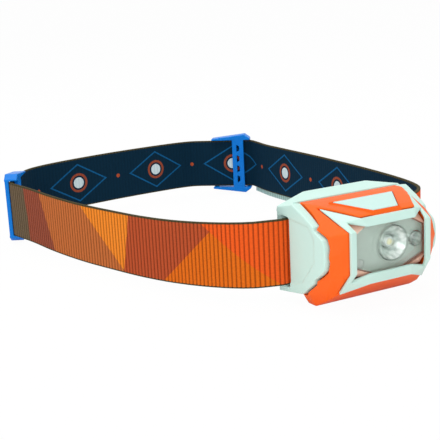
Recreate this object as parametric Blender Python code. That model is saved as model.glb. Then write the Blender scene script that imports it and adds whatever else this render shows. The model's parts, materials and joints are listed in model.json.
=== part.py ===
"""Headlamp: a tilting lamp in a bracket on an elastic headband. Metres, +Z up."""
import math

import bmesh
import bpy
from mathutils import Matrix, Vector

MM = 0.001

# Fits shared by all the pieces
GAP = 0.3 * MM            # between pieces that seat on each other
RUN_GAP = 0.4 * MM        # round a piece that moves past another
WALL = 1.7 * MM           # moulded wall of the lamp housing

# Headband: elastic webbing, its middle line in plan as seen from above
STRAP_WIDTH = 25.0 * MM
STRAP_THICK = 1.4 * MM
STRAP_MID_Z = 18.7 * MM   # middle height where it crosses the bracket
TAIL_DROP = 3.0 * MM      # the loose outer layer hangs this much lower
TAIL_START = 1.5 * MM     # along the right run, from the end of the slider
TAIL_LENGTH = 84.0 * MM
PATH_STEP = 4.0 * MM
BAND_END = 0.4 * MM       # each end of the webbing stops this far from the left slider's middle

# Lamp housing: half sections from front to back; y is measured from the bezel front
SECTIONS = (
    # y,   top x, top z, upper x, upper z, middle x, middle z, lower x, lower z, bottom x, bottom z
    (1.9, 11.8, 33.6, 17.6, 29.6, 17.6, 22.3, 17.6, 14.6, 9.4, 10.2),
    (3.4, 12.4, 34.6, 19.4, 28.6, 20.4, 22.0, 19.4, 14.2, 12.5, 8.9),
    (6.0, 13.4, 35.3, 22.6, 28.0, 25.0, 21.5, 22.4, 13.6, 17.6, 7.2),
    (12.0, 17.2, 36.2, 24.6, 30.4, 25.0, 21.5, 24.2, 10.0, 20.8, 2.9),
    (17.0, 19.0, 36.7, 25.0, 32.2, 25.0, 21.5, 25.0, 6.5, 21.7, 0.0),
    (21.5, 21.5, 37.0, 25.0, 34.4, 25.0, 21.5, 25.0, 6.5, 21.7, 0.0),
    (25.6, 22.6, 37.0, 25.0, 34.8, 25.0, 21.5, 25.0, 9.0, 21.7, 5.7),
)
HOUSING_FRONT = SECTIONS[0][0] * MM
HOUSING_REAR = SECTIONS[-1][0] * MM
UNDERSIDE_Y = 0.5 * (SECTIONS[4][0] + SECTIONS[5][0]) * MM
CAVITY_FRONT = HOUSING_FRONT + 1.6 * MM
CAVITY_HALF = 20.3 * MM   # inside half width, between the ear recesses
AXIS_Z = 22.3 * MM        # height of the lamp's optical axis

# Bracket: two cheeks with ears, a front wall, a roof and a strap slot in each cheek
EAR_WALL = 1.55 * MM      # housing wall left between the cavity and the ear recess
CHEEK_INNER = CAVITY_HALF + EAR_WALL + RUN_GAP
CHEEK_FRONT = CHEEK_INNER + 2.65 * MM   # outer half width at the ear tip
CHEEK_REAR = CHEEK_INNER + 4.35 * MM    # outer half width at the back
CHEEK_BACK_Y = 33.6 * MM
EAR_OUTLINE = (
    (6.0, 21.7), (6.3, 24.8), (7.3, 27.0), (10.0, 28.6), (11.9, 29.5), (12.2, 31.0), (18.0, 34.2),
    (24.2, 37.0), (33.6, 34.9), (33.6, 2.8), (19.5, 4.7), (12.9, 10.0), (12.5, 11.5), (9.2, 13.9),
    (7.0, 16.2), (6.2, 18.6),
)
BRACKET_WALL_Y = HOUSING_REAR + 0.5 * MM
BRACKET_WALL = 1.6 * MM
BRACKET_WALL_BOTTOM = 9.8 * MM
BRACKET_WALL_TOP = 36.0 * MM
ROOF_BACK_Y = 34.4 * MM
ROOF_HALF = 14.0 * MM     # half width of the roof's raised rear edge
SLOT_BAR = 2.4 * MM       # the cheek's bar behind the strap slot
STRAP_CROSS_Y = BRACKET_WALL_Y + BRACKET_WALL + RUN_GAP + 0.5 * STRAP_THICK

# Tilt hinge: a boss on each cheek in a hole in the housing
PIVOT_Y = 22.0 * MM
PIVOT_Z = 7.7 * MM
BOSS_RADIUS = 2.4 * MM
BOSS_TIP = CAVITY_HALF + GAP
RELIEF_RADIUS = 7.0 * MM  # hollow inside each cheek, where the housing's lower edge swings up
RELIEF_DEPTH = 2.1 * MM
RELIEF_ANGLES = (-120.0, 15.0)   # from behind the pivot, in degrees

# Bezel: stations from the top middle round to the bottom middle, front outer and front inner points
BEZEL_THICK = 1.2 * MM
HORN_LENGTH = 5.0 * MM    # stations longer than this are the four horns
HORN_REACH = 5.0          # the groove runs on past a horn's tip by this many gaps
BEZEL_STATIONS = (
    # outer x, y, z, inner x, y, z, back direction x, y, z
    (0.0, 2.0, 33.9, 0.0, 0.4, 31.0, 0.0, 1.0, 0.0),
    (11.8, 2.2, 33.9, 10.4, 0.4, 31.0, 0.0, 1.0, -0.2),
    (20.0, 16.0, 36.1, 16.6, 4.6, 32.9, -0.55, 0.25, -0.8),
    (17.6, 0.5, 29.6, 15.25, 0.4, 29.8, 0.0, 1.0, 0.0),
    (17.6, 0.5, 14.6, 15.25, 0.4, 14.8, 0.0, 1.0, 0.0),
    (18.6, 6.6, 6.3, 16.4, 2.6, 11.2, -0.2, 0.6, 0.6),
    (9.3, 1.0, 9.9, 9.1, 0.4, 13.8, 0.0, 1.0, 0.1),
    (0.0, 1.0, 9.9, 0.0, 0.4, 13.8, 0.0, 1.0, 0.0),
)

# Window, panel and optics behind it
WINDOW_FLAT = ((9.4, 31.3), (16.4, 27.3), (16.4, 16.6), (6.0, 12.6))
WINDOW_CORNERS = ((15.6, 6.2, 31.6), (15.9, 4.6, 12.6))
CORNER_ROOM = 0.8 * MM    # the opening runs on past the window's corners, under the bezel's horns
WINDOW_Y = HOUSING_FRONT + 0.2 * MM
WINDOW_THICK = 1.0 * MM
PANEL_FLAT = ((9.4, 31.5), (17.0, 27.6), (17.0, 16.4), (6.0, 12.3))
PANEL_CORNERS = ((15.8, 8.2, 31.7), (16.3, 6.6, 12.4))
GASKET_THICK = 0.4 * MM
GASKET_WIDTH = 0.4 * MM
PANEL_THICK = 0.8 * MM
MAIN_LENS_X = 2.9 * MM
MAIN_LENS_RADIUS = 6.2 * MM
MAIN_LENS_DEPTH = 5.6 * MM
FLOOD_LENS_X = 13.2 * MM
FLOOD_LENS_RADIUS = 2.5 * MM
FLOOD_LENS_DEPTH = 4.2 * MM
RED_LED_X = -11.2 * MM
RED_LED_DROP = 5.3 * MM
RED_HOLE_RADIUS = 1.6 * MM
LED_HEIGHT = 0.8 * MM
MAIN_LED_SIDE = 3.2 * MM
SMALL_LED_SIDE = 2.4 * MM
BOARD_Y = 10.2 * MM
BOARD_THICK = 1.2 * MM
BOARD_HALF = 17.0 * MM
BOARD_LOW = 12.0 * MM
BOARD_HIGH = 31.8 * MM
SPREADER_THICK = 1.0 * MM
SCREW_EDGE = 2.6 * MM     # from the board's side to a screw's middle
SCREW_X = BOARD_HALF - SCREW_EDGE
SCREW_DROP = 5.5 * MM     # the right screw sits this much below the lenses' axis
LEG_HALF = 1.6 * MM
LEG_HALF_HEIGHT = 1.9 * MM
SCREW_RADIUS = 0.8 * MM
SCREW_HEAD_RADIUS = 1.5 * MM
SCREW_HEAD = 0.9 * MM

# Battery space
TRAY_FLOOR = 1.2 * MM
TRAY_WALL = 1.2 * MM
TRAY_LOW = 8.2 * MM
TRAY_HIGH = 32.4 * MM
TRAY_HALF = CAVITY_HALF - GAP
TRAY_CHAMFER = 3.4 * MM
DOOR_THICK = 1.6 * MM
DOOR_GASKET_THICK = 0.7 * MM
DOOR_GASKET_WIDTH = 1.4 * MM
CONTACT_THICK = 0.4 * MM
CONTACT_HALF = 4.0 * MM
CONTACT_X = 0.5 * TRAY_HALF

# Push button in the top wall: a trapezoid with its long edge at the back
BUTTON_FRONT_Y = 3.9 * MM
BUTTON_REAR_Y = 17.0 * MM
BUTTON_FRONT_HALF = 5.5 * MM
BUTTON_REAR_HALF = 13.4 * MM
BUTTON_FRONT_TOP = 35.7 * MM
BUTTON_REAR_TOP = 37.4 * MM
BUTTON_TRAVEL = 0.8 * MM
BUTTON_LIP = 0.9 * MM
BUTTON_LIP_THICK = 0.8 * MM
SWITCH_HALF = 3.0 * MM
SWITCH_DEPTH = 3.0 * MM
SWITCH_HEIGHT = 2.4 * MM
PLUNGER_RADIUS = 1.1 * MM
PLUNGER_HEIGHT = 0.5 * MM

# Sliders on the band: two flared rails, an inner centre bar and two outer end bars
SLIDER_SINK = 2.0 * MM    # the strap sits this much lower at the back than at the bracket
SLIDER_LENGTH = 20.8 * MM
SLIDER_HALF_HEIGHT = 15.9 * MM
SLIDER_END_RAIL = 0.8 * MM    # rail height left at the two ends
SLIDER_PEAK = 7.4 * MM        # place of the highest point, from the middle
SLIDER_HALF_DEPTH = 3.0 * MM
SLIDER_BAR_START = 0.8 * MM   # the centre bar lies on the taller side
SLIDER_CENTRE_BAR = 6.2 * MM
SLIDER_END_BAR = 2.6 * MM
SLIDER_TRAVEL = 6.0 * MM
RIGHT_SLIDER_PLACE = (50.6, 200.6)
RIGHT_SLIDER_ANGLE = -38.0
LEFT_SLIDER_PLACE = (-76.3, 183.8)
LEFT_SLIDER_ANGLE = 60.5

# Runs of the band between the sliders and the bracket: x, y and sink below the bracket crossing
LEFT_RUN = (
    (-80.5, 167.0, 2.0), (-78.5, 157.0, 2.2), (-75.5, 138.5, 2.8), (-70.5, 117.0, 3.4), (-65.0, 98.5, 3.6),
    (-59.5, 81.0, 3.6), (-54.0, 66.0, 3.2), (-48.5, 52.5, 2.3), (-42.5, 40.5, 1.2), (-37.0, 33.5, 0.5),
    (-32.0, 30.0, 0.0),
)
RIGHT_RUN = (
    (32.0, 30.0, 0.0), (37.0, 33.0, 0.7), (43.5, 38.0, 1.3), (49.5, 45.0, 1.8), (53.0, 53.5, 2.0),
    (55.0, 64.0, 2.0), (57.0, 86.5, 2.0), (58.2, 125.0, 2.0), (58.2, 160.0, 2.2), (58.3, 178.0, 2.3),
    (59.4, 189.5, 2.2),
)
BACK_RUN = (
    (32.5, 212.8, 1.8), (25.0, 212.7, 1.5), (12.5, 211.5, 1.2), (-5.5, 209.8, 1.0), (-23.0, 208.0, 1.0),
    (-45.5, 205.8, 1.4), (-56.5, 204.3, 1.8), (-62.5, 202.2, 2.0), (-67.0, 198.2, 2.0),
)


# Building blocks
def clear_scene():
    for obj in list(bpy.data.objects):
        bpy.data.objects.remove(obj)


def new_object(name, bm):
    """Turn a bmesh drawn from the bezel front into an object centred on the lamp's underside."""
    bmesh.ops.recalc_face_normals(bm, faces=bm.faces)
    bmesh.ops.translate(bm, vec=(0.0, -UNDERSIDE_Y, 0.0), verts=bm.verts)
    mesh = bpy.data.meshes.new(name)
    bm.to_mesh(mesh)
    bm.free()
    obj = bpy.data.objects.new(name, mesh)
    bpy.context.scene.collection.objects.link(obj)
    return obj


def loft(name, rings, closed=False):
    """Skin a row of equal rings; open rows get end caps, closed rows join up in triangles."""
    bm = bmesh.new()
    rows = [[bm.verts.new(point) for point in ring] for ring in rings]
    count = len(rows[0])
    pairs = list(zip(rows, rows[1:]))
    if closed:
        pairs.append((rows[-1], rows[0]))
    else:
        bm.faces.new(rows[0])
        bm.faces.new(rows[-1])
    for first, second in pairs:
        for i in range(count):
            j = (i + 1) % count
            down = (first[i].co - second[j].co).length
            up = (first[j].co - second[i].co).length
            if not closed:
                bm.faces.new((first[i], first[j], second[j], second[i]))
            elif down < up:
                bm.faces.new((first[i], first[j], second[j]))
                bm.faces.new((first[i], second[j], second[i]))
            else:
                bm.faces.new((first[i], first[j], second[i]))
                bm.faces.new((first[j], second[j], second[i]))
    return new_object(name, bm)


def at(axis, pair, along):
    """A point from its place along one axis and the other two coordinates in order."""
    if axis == "X":
        return Vector((along, pair[0], pair[1]))
    if axis == "Y":
        return Vector((pair[0], along, pair[1]))
    return Vector((pair[0], pair[1], along))


def prism(name, axis, outline, low, high):
    return loft(name, [[at(axis, pair, along) for pair in outline] for along in (low, high)])


def box(name, x, y, z):
    return prism(name, "Z", [(x[0], y[0]), (x[1], y[0]), (x[1], y[1]), (x[0], y[1])], z[0], z[1])


def circle(centre, radius, segments=40):
    turns = [2.0 * math.pi * i / segments for i in range(segments)]
    return [(centre[0] + radius * math.cos(t), centre[1] + radius * math.sin(t)) for t in turns]


def rod(name, axis, centre, radius, low, high, segments=40):
    return prism(name, axis, circle(centre, radius, segments), low, high)


def turned(name, x, profile, segments=48):
    """A lens turned about the line through (x, AXIS_Z) along Y; profile is (radius, y) pairs."""
    rings = []
    for radius, y in profile:
        rings.append([at("Y", pair, y) for pair in circle((x, AXIS_Z), radius, segments)])
    return loft(name, rings)


def combine(target, tool, operation):
    """Apply one boolean and drop the tool."""
    modifier = target.modifiers.new(operation.title(), "BOOLEAN")
    modifier.operation = operation
    modifier.solver = "EXACT"
    modifier.object = tool
    depsgraph = bpy.context.evaluated_depsgraph_get()
    mesh = bpy.data.meshes.new_from_object(target.evaluated_get(depsgraph))
    target.modifiers.clear()
    mesh.name = target.name
    target.data = mesh
    bpy.data.objects.remove(tool)
    return target


def cut(target, tool):
    return combine(target, tool, "DIFFERENCE")


def join(target, tool):
    return combine(target, tool, "UNION")


def millimetres(pairs):
    return [(a * MM, b * MM) for a, b in pairs]


def mirrored(half):
    """Close a right-hand half outline, listed from top to bottom, with its mirror image."""
    return list(half) + [(-x, z) for x, z in reversed(half)]


def grown(outline, distance):
    """Move every edge of a closed outline outwards by one distance."""
    area = sum(a[0] * b[1] - b[0] * a[1] for a, b in zip(outline, outline[1:] + outline[:1]))
    side = 1.0 if area > 0.0 else -1.0
    moved = []
    for i, point in enumerate(outline):
        before = Vector(outline[i - 1])
        here = Vector(point)
        after = Vector(outline[(i + 1) % len(outline)])
        d1 = (here - before).normalized()
        d2 = (after - here).normalized()
        n1 = Vector((d1.y, -d1.x)) * side
        n2 = Vector((d2.y, -d2.x)) * side
        bisector = (n1 + n2).normalized()
        moved.append(tuple(here + bisector * (distance / max(bisector.dot(n1), 0.4))))
    return moved


def set_origin(obj, x, y, z):
    """Put a moving piece's origin on its joint; y is measured from the bezel front."""
    place = Vector((x, y - UNDERSIDE_Y, z))
    obj.data.transform(Matrix.Translation(-place))
    obj.location = place


def paint(obj, material_name, colour, roughness=0.5, metallic=0.0, transmission=0.0):
    material = bpy.data.materials.new(material_name + " " + obj.name)
    material.use_nodes = True
    shader = material.node_tree.nodes["Principled BSDF"]
    shader.inputs["Base Color"].default_value = (*colour, 1.0)
    shader.inputs["Roughness"].default_value = roughness
    shader.inputs["Metallic"].default_value = metallic
    shader.inputs["Transmission Weight"].default_value = transmission
    obj.data.materials.clear()
    obj.data.materials.append(material)


ORANGE = (1.0, 0.16, 0.02)
MINT_WHITE = (0.74, 0.87, 0.82)
BLUE = (0.01, 0.28, 0.8)
NAVY = (0.01, 0.03, 0.06)
GREY = (0.4, 0.43, 0.41)
BLACK = (0.02, 0.02, 0.02)
CLEAR = (0.9, 0.95, 0.93)
METAL = (0.7, 0.68, 0.62)
GOLD = (0.8, 0.6, 0.25)
GREEN = (0.02, 0.15, 0.06)


# Lamp housing
def housing_half(row, inset=0.0, half_limit=None):
    """One half section of the housing, inset for the cavity inside it."""
    pairs = [(row[i] * MM, row[i + 1] * MM) for i in range(1, 11, 2)]
    shares = ((-0.8, -1.0), (-1.0, -0.6), (-1.0, 0.0), (-1.0, 0.6), (-0.8, 1.0))
    half = []
    for (x, z), (share_x, share_z) in zip(pairs, shares):
        x_in = x + share_x * inset
        if half_limit is not None:
            x_in = min(x_in, half_limit)
        half.append((x_in, z + share_z * inset))
    return half


def cavity_rings(inset, half_limit, y_front, y_rear):
    rows = [row for row in SECTIONS if y_front + 0.2 * MM < row[0] * MM < y_rear - 0.2 * MM]
    rings = [[at("Y", p, y_front) for p in mirrored(section_at(y_front, inset, half_limit))]]
    for row in rows:
        rings.append([at("Y", p, row[0] * MM) for p in mirrored(housing_half(row, inset, half_limit))])
    rings.append([at("Y", p, y_rear) for p in mirrored(section_at(y_rear, inset, half_limit))])
    return rings


def section_at(y, inset=0.0, half_limit=None):
    """The housing's half section between two listed ones."""
    rows = SECTIONS
    if y >= rows[-1][0] * MM:
        return housing_half(rows[-1], inset, half_limit)
    for first, second in zip(rows, rows[1:]):
        if y <= second[0] * MM:
            share = (y / MM - first[0]) / (second[0] - first[0])
            row = [a + (b - a) * share for a, b in zip(first, second)]
            return housing_half(row, inset, half_limit)
    return housing_half(rows[-1], inset, half_limit)


def button_outline(grow_side, front_y, rear_y):
    """The button's trapezoid in plan, cut at two depths and grown sideways."""
    slope = (BUTTON_REAR_HALF - BUTTON_FRONT_HALF) / (BUTTON_REAR_Y - BUTTON_FRONT_Y)
    front_half = BUTTON_FRONT_HALF + slope * (front_y - BUTTON_FRONT_Y) + grow_side
    rear_half = BUTTON_FRONT_HALF + slope * (rear_y - BUTTON_FRONT_Y) + grow_side
    return [(-front_half, front_y), (front_half, front_y), (rear_half, rear_y), (-rear_half, rear_y)]


def button_top(y):
    share = (y - BUTTON_FRONT_Y) / (BUTTON_REAR_Y - BUTTON_FRONT_Y)
    return BUTTON_FRONT_TOP + (BUTTON_REAR_TOP - BUTTON_FRONT_TOP) * share


def bezel_rings(grow, front, back):
    """Cross sections of the bezel, right half then left half, from its front and inner lines."""
    rings = []
    for row in BEZEL_STATIONS:
        outer = Vector(row[0:3]) * MM
        inner = Vector(row[3:6]) * MM
        inward = Vector(row[6:9]).normalized()
        across = (outer - inner).normalized()
        horn = HORN_REACH if (outer - inner).length > HORN_LENGTH else 1.0
        outer = outer + across * grow * horn
        inner = inner - across * grow
        front_edge = [outer - inward * front, inner - inward * front]
        rings.append(front_edge + [inner + inward * back, outer + inward * back])
    left = []
    for ring in reversed(rings[1:-1]):
        left.append([Vector((-p.x, p.y, p.z)) for p in ring])
    return rings + left


def build_housing():
    rings = [[at("Y", p, row[0] * MM) for p in mirrored(housing_half(row))] for row in SECTIONS]
    housing = loft("housing", rings)
    cut(housing, loft("cavity", cavity_rings(WALL, CAVITY_HALF, CAVITY_FRONT, HOUSING_REAR + 2.0 * MM)))
    loop = corner_loop(WINDOW_FLAT, WINDOW_CORNERS, WINDOW_Y, CORNER_ROOM)
    opening = grown([(p.x, p.z) for p in loop], GAP)
    depth = PANEL_CORNERS[0][1] * MM + PANEL_THICK + GAP
    cut(housing, prism("window opening", "Y", opening, 0.0, depth))
    plan = grown(button_outline(0.0, BUTTON_FRONT_Y, BUTTON_REAR_Y), RUN_GAP)
    cut(housing, prism("button opening", "Z", plan, BUTTON_FRONT_TOP - 3.6 * MM, BUTTON_REAR_TOP + 2.0 * MM))
    recess = grown(millimetres(EAR_OUTLINE), RUN_GAP)
    for side in (1.0, -1.0):
        low, high = sorted((side * (CHEEK_INNER - RUN_GAP), side * (CHEEK_REAR + 4.0 * MM)))
        cut(housing, prism("ear recess", "X", recess, low, high))
        low, high = sorted((side * (CAVITY_HALF - 2.0 * MM), side * (CHEEK_REAR + 1.0 * MM)))
        cut(housing, rod("pivot hole", "X", (PIVOT_Y, PIVOT_Z), BOSS_RADIUS + GAP, low, high))
    groove = bezel_rings(GAP, 3.0 * MM, BEZEL_THICK + GAP)
    cut(housing, loft("bezel groove", groove, closed=True))
    paint(housing, "Orange housing plastic", ORANGE, 0.45)
    return housing


def build_bezel():
    bezel = loft("bezel", bezel_rings(0.0, 0.0, BEZEL_THICK), closed=True)
    paint(bezel, "Mint bezel plastic", MINT_WHITE, 0.35)
    return bezel


# Optics and board
def corner_loop(flat_half, corner_half, y, room=0.0):
    """An edge from the top: each chamfer of a flat face has a folded corner between its ends."""
    flat = [Vector((x * MM, y, z * MM)) for x, z in flat_half]
    corner = [Vector(c) * MM for c in corner_half]
    corner[0] += Vector((room, 0.0, room))
    corner[1] += Vector((room, 0.0, -room))
    right = [flat[0], corner[0], flat[1], flat[2], corner[1], flat[3]]
    return right + [Vector((-p.x, p.y, p.z)) for p in reversed(right)]


def folded_plate(name, loop, thick):
    """A flat octagon with a facet folded back at each corner."""
    bm = bmesh.new()
    corners = range(1, len(loop), 3)
    rows = []
    for depth in (0.0, thick):
        row = [bm.verts.new(p + Vector((0.0, depth, 0.0))) for p in loop]
        bm.faces.new([v for i, v in enumerate(row) if i not in corners])
        for i in corners:
            bm.faces.new((row[i - 1], row[i], row[i + 1]))
        rows.append(row)
    for i in range(len(loop)):
        j = (i + 1) % len(loop)
        bm.faces.new((rows[0][i], rows[0][j], rows[1][j], rows[1][i]))
    return new_object(name, bm)


def build_optics():
    window_outline = mirrored(millimetres(WINDOW_FLAT))
    window = folded_plate("window", corner_loop(WINDOW_FLAT, WINDOW_CORNERS, WINDOW_Y), WINDOW_THICK)
    paint(window, "Clear window plastic", CLEAR, 0.03, 0.0, 1.0)
    gasket_y = WINDOW_Y + WINDOW_THICK + GAP
    gasket = prism("window_gasket", "Y", window_outline, gasket_y, gasket_y + GASKET_THICK)
    inner = grown(window_outline, -GASKET_WIDTH)
    cut(gasket, prism("gasket hole", "Y", inner, gasket_y - 1.0 * MM, gasket_y + 2.0 * MM))
    paint(gasket, "Black rubber", BLACK, 0.8)

    panel_y = gasket_y + GASKET_THICK + GAP
    panel = folded_plate("lens_panel", corner_loop(PANEL_FLAT, PANEL_CORNERS, panel_y), PANEL_THICK)
    for x, z in screw_places():
        x_range = (x - LEG_HALF, x + LEG_HALF)
        z_range = (z - LEG_HALF_HEIGHT, z + LEG_HALF_HEIGHT)
        join(panel, box("panel leg", x_range, (panel_y + 0.2 * MM, BOARD_Y - GAP), z_range))
        depth = (BOARD_Y - 3.4 * MM, BOARD_Y)
        cut(panel, rod("screw hole", "Y", (x, z), SCREW_RADIUS + GAP, *depth))
    lens_fit = RUN_GAP
    for x, z, radius in (
        (MAIN_LENS_X, AXIS_Z, MAIN_LENS_RADIUS + lens_fit),
        (FLOOD_LENS_X, AXIS_Z, FLOOD_LENS_RADIUS + lens_fit),
        (RED_LED_X, AXIS_Z - RED_LED_DROP, RED_HOLE_RADIUS),
    ):
        depth = (panel_y - 1.0 * MM, panel_y + PANEL_THICK + 0.6 * MM)
        cut(panel, rod("lens hole", "Y", (x, z), radius, *depth))
    paint(panel, "Grey panel plastic", GREY, 0.4)

    lens_y = WINDOW_Y + WINDOW_THICK + GAP
    r = MAIN_LENS_RADIUS
    back = lens_y + MAIN_LENS_DEPTH
    profile = (
        (0.55 * r, lens_y + 0.5 * MM), (0.86 * r, lens_y), (r, lens_y + 0.2 * MM), (r, lens_y + 1.2 * MM),
        (0.78 * r, lens_y + 3.0 * MM), (0.52 * r, back),
    )
    main_lens = turned("main_lens", MAIN_LENS_X, profile)
    paint(main_lens, "Clear lens plastic", CLEAR, 0.02, 0.0, 1.0)
    r = FLOOD_LENS_RADIUS
    back = lens_y + FLOOD_LENS_DEPTH
    profile = ((0.8 * r, lens_y), (r, lens_y + 0.4 * MM), (r, lens_y + 1.2 * MM), (0.6 * r, back))
    flood_lens = turned("flood_lens", FLOOD_LENS_X, profile, 32)
    paint(flood_lens, "Clear lens plastic", CLEAR, 0.02, 0.0, 1.0)

    led_y = (BOARD_Y - GAP - LED_HEIGHT, BOARD_Y - GAP)
    leds = (
        ("main_led", MAIN_LENS_X, AXIS_Z, MAIN_LED_SIDE, (0.9, 0.75, 0.1)),
        ("flood_led", FLOOD_LENS_X, AXIS_Z, SMALL_LED_SIDE, (0.9, 0.8, 0.3)),
        ("red_led", RED_LED_X, AXIS_Z - RED_LED_DROP, SMALL_LED_SIDE, (0.6, 0.02, 0.02)),
    )
    for name, x, z, side, colour in leds:
        h = 0.5 * side
        led = box(name, (x - h, x + h), led_y, (z - h, z + h))
        paint(led, "LED package", colour, 0.3)


def screw_places():
    return ((SCREW_X, AXIS_Z - SCREW_DROP), (-SCREW_X, AXIS_Z))


def build_board():
    y0 = BOARD_Y
    y1 = y0 + BOARD_THICK
    board = box("circuit_board", (-BOARD_HALF, BOARD_HALF), (y0, y1), (BOARD_LOW, BOARD_HIGH))
    spreader_y = y1 + GAP
    y2 = spreader_y + SPREADER_THICK
    spreader_x = (-BOARD_HALF + 0.8 * MM, BOARD_HALF - 0.8 * MM)
    spreader_z = (BOARD_LOW + 0.8 * MM, BOARD_HIGH - 0.8 * MM)
    spreader = box("heat_spreader", spreader_x, (spreader_y, y2), spreader_z)
    for name, (x, z) in zip(("board_screw_right", "board_screw_left"), screw_places()):
        for plate in (board, spreader):
            cut(plate, rod("hole", "Y", (x, z), SCREW_RADIUS + GAP, y0 - 1.0 * MM, y2 + 1.0 * MM, 24))
        head = y2 + GAP
        screw = rod(name, "Y", (x, z), SCREW_RADIUS, BOARD_Y - 3.0 * MM, head + 0.3 * MM, 24)
        join(screw, rod("head", "Y", (x, z), SCREW_HEAD_RADIUS, head, head + SCREW_HEAD, 24))
        paint(screw, "Screw steel", METAL, 0.3, 1.0)
    paint(board, "Green circuit board", GREEN, 0.4)
    paint(spreader, "Aluminium", METAL, 0.35, 1.0)

    y = (BOARD_Y - GAP - SWITCH_DEPTH, BOARD_Y - GAP)
    top = switch_top() - PLUNGER_HEIGHT
    switch = box("tactile_switch", (-SWITCH_HALF, SWITCH_HALF), y, (top - SWITCH_HEIGHT, top))
    middle = (0.0, 0.5 * (y[0] + y[1]))
    join(switch, rod("plunger", "Z", middle, PLUNGER_RADIUS, top - 0.4 * MM, top + PLUNGER_HEIGHT, 24))
    paint(switch, "Black switch plastic", BLACK, 0.5)


def lip_front():
    return BUTTON_FRONT_Y + 1.5 * MM


def lip_top(y):
    """Height of the button lip's upper face, just under the housing's top wall."""
    row = section_at(y)
    return row[0][1] - WALL - RUN_GAP


def switch_top():
    middle = BOARD_Y - GAP - 0.5 * SWITCH_DEPTH
    return lip_top(middle) - BUTTON_LIP_THICK - BUTTON_TRAVEL - GAP


def build_button():
    plan = button_outline(0.0, BUTTON_FRONT_Y, BUTTON_REAR_Y)
    front = lip_front()
    rear = BUTTON_REAR_Y + BUTTON_LIP
    lower = [Vector((x, y, lip_top(max(y, front)) - 0.5 * BUTTON_LIP_THICK)) for x, y in plan]
    upper = [Vector((x, y, button_top(y))) for x, y in plan]
    button = loft("power_button", [lower, upper])
    lip = button_outline(BUTTON_LIP, front, rear)
    rings = []
    for depth in (BUTTON_LIP_THICK, 0.0):
        rings.append([Vector((x, y, lip_top(y) - depth)) for x, y in lip])
    join(button, loft("lip", rings))
    middle = 0.5 * (BUTTON_FRONT_Y + BUTTON_REAR_Y)
    set_origin(button, 0.0, middle, button_top(middle))
    paint(button, "Mint button plastic", MINT_WHITE, 0.4)


# Battery space behind the board
def build_battery():
    screw_end = BOARD_Y + BOARD_THICK + GAP + SPREADER_THICK + GAP + SCREW_HEAD
    tray_y = screw_end + GAP
    door_y = HOUSING_REAR - 0.1 * MM - DOOR_THICK
    gasket_y = door_y - GAP - DOOR_GASKET_THICK
    tray_rear = gasket_y - GAP
    chamfer = TRAY_CHAMFER
    outline = mirrored([
        (TRAY_HALF - chamfer, TRAY_HIGH), (TRAY_HALF, TRAY_HIGH - chamfer),
        (TRAY_HALF, TRAY_LOW + chamfer), (TRAY_HALF - chamfer, TRAY_LOW),
    ])
    tray = prism("battery_tray", "Y", outline, tray_y, tray_rear)
    pocket_y = tray_y + TRAY_FLOOR
    cut(tray, prism("pocket", "Y", grown(outline, -TRAY_WALL), pocket_y, tray_rear + 2.0 * MM))
    paint(tray, "Black tray plastic", BLACK, 0.6)

    contact_y = pocket_y + GAP
    middle = 0.5 * (TRAY_LOW + TRAY_HIGH)
    contacts = (("battery_contact_plus", CONTACT_X), ("battery_contact_minus", -CONTACT_X))
    for name, x in contacts:
        x_range = (x - CONTACT_HALF, x + CONTACT_HALF)
        z_range = (middle - CONTACT_HALF, middle + CONTACT_HALF)
        contact = box(name, x_range, (contact_y, contact_y + CONTACT_THICK), z_range)
        paint(contact, "Gold plated spring", GOLD, 0.3, 1.0)

    pack_y = contact_y + CONTACT_THICK + GAP
    pack = prism("battery_pack", "Y", grown(outline, -TRAY_WALL - GAP), pack_y, door_y - GAP)
    paint(pack, "Battery wrap", (0.05, 0.06, 0.08), 0.4)

    outline = mirrored(section_at(door_y + DOOR_THICK, WALL + GAP, CAVITY_HALF - GAP))
    door = prism("battery_door", "Y", outline, door_y, door_y + DOOR_THICK)
    paint(door, "Grey door plastic", (0.12, 0.13, 0.14), 0.5)
    gasket = prism("door_gasket", "Y", outline, gasket_y, gasket_y + DOOR_GASKET_THICK)
    hole = grown(outline, -DOOR_GASKET_WIDTH)
    cut(gasket, prism("gasket hole", "Y", hole, gasket_y - 1.0 * MM, gasket_y + 2.0 * MM))
    paint(gasket, "Black rubber", BLACK, 0.8)


# Bracket
def relief_outline():
    """A sector about the tilt axis, on its lower rear side."""
    first, last = (math.radians(angle) for angle in RELIEF_ANGLES)
    turns = [first + (last - first) * i / 24.0 for i in range(25)]
    arc = [(PIVOT_Y + RELIEF_RADIUS * math.cos(t), PIVOT_Z + RELIEF_RADIUS * math.sin(t)) for t in turns]
    return [(PIVOT_Y, PIVOT_Z)] + arc


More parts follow.
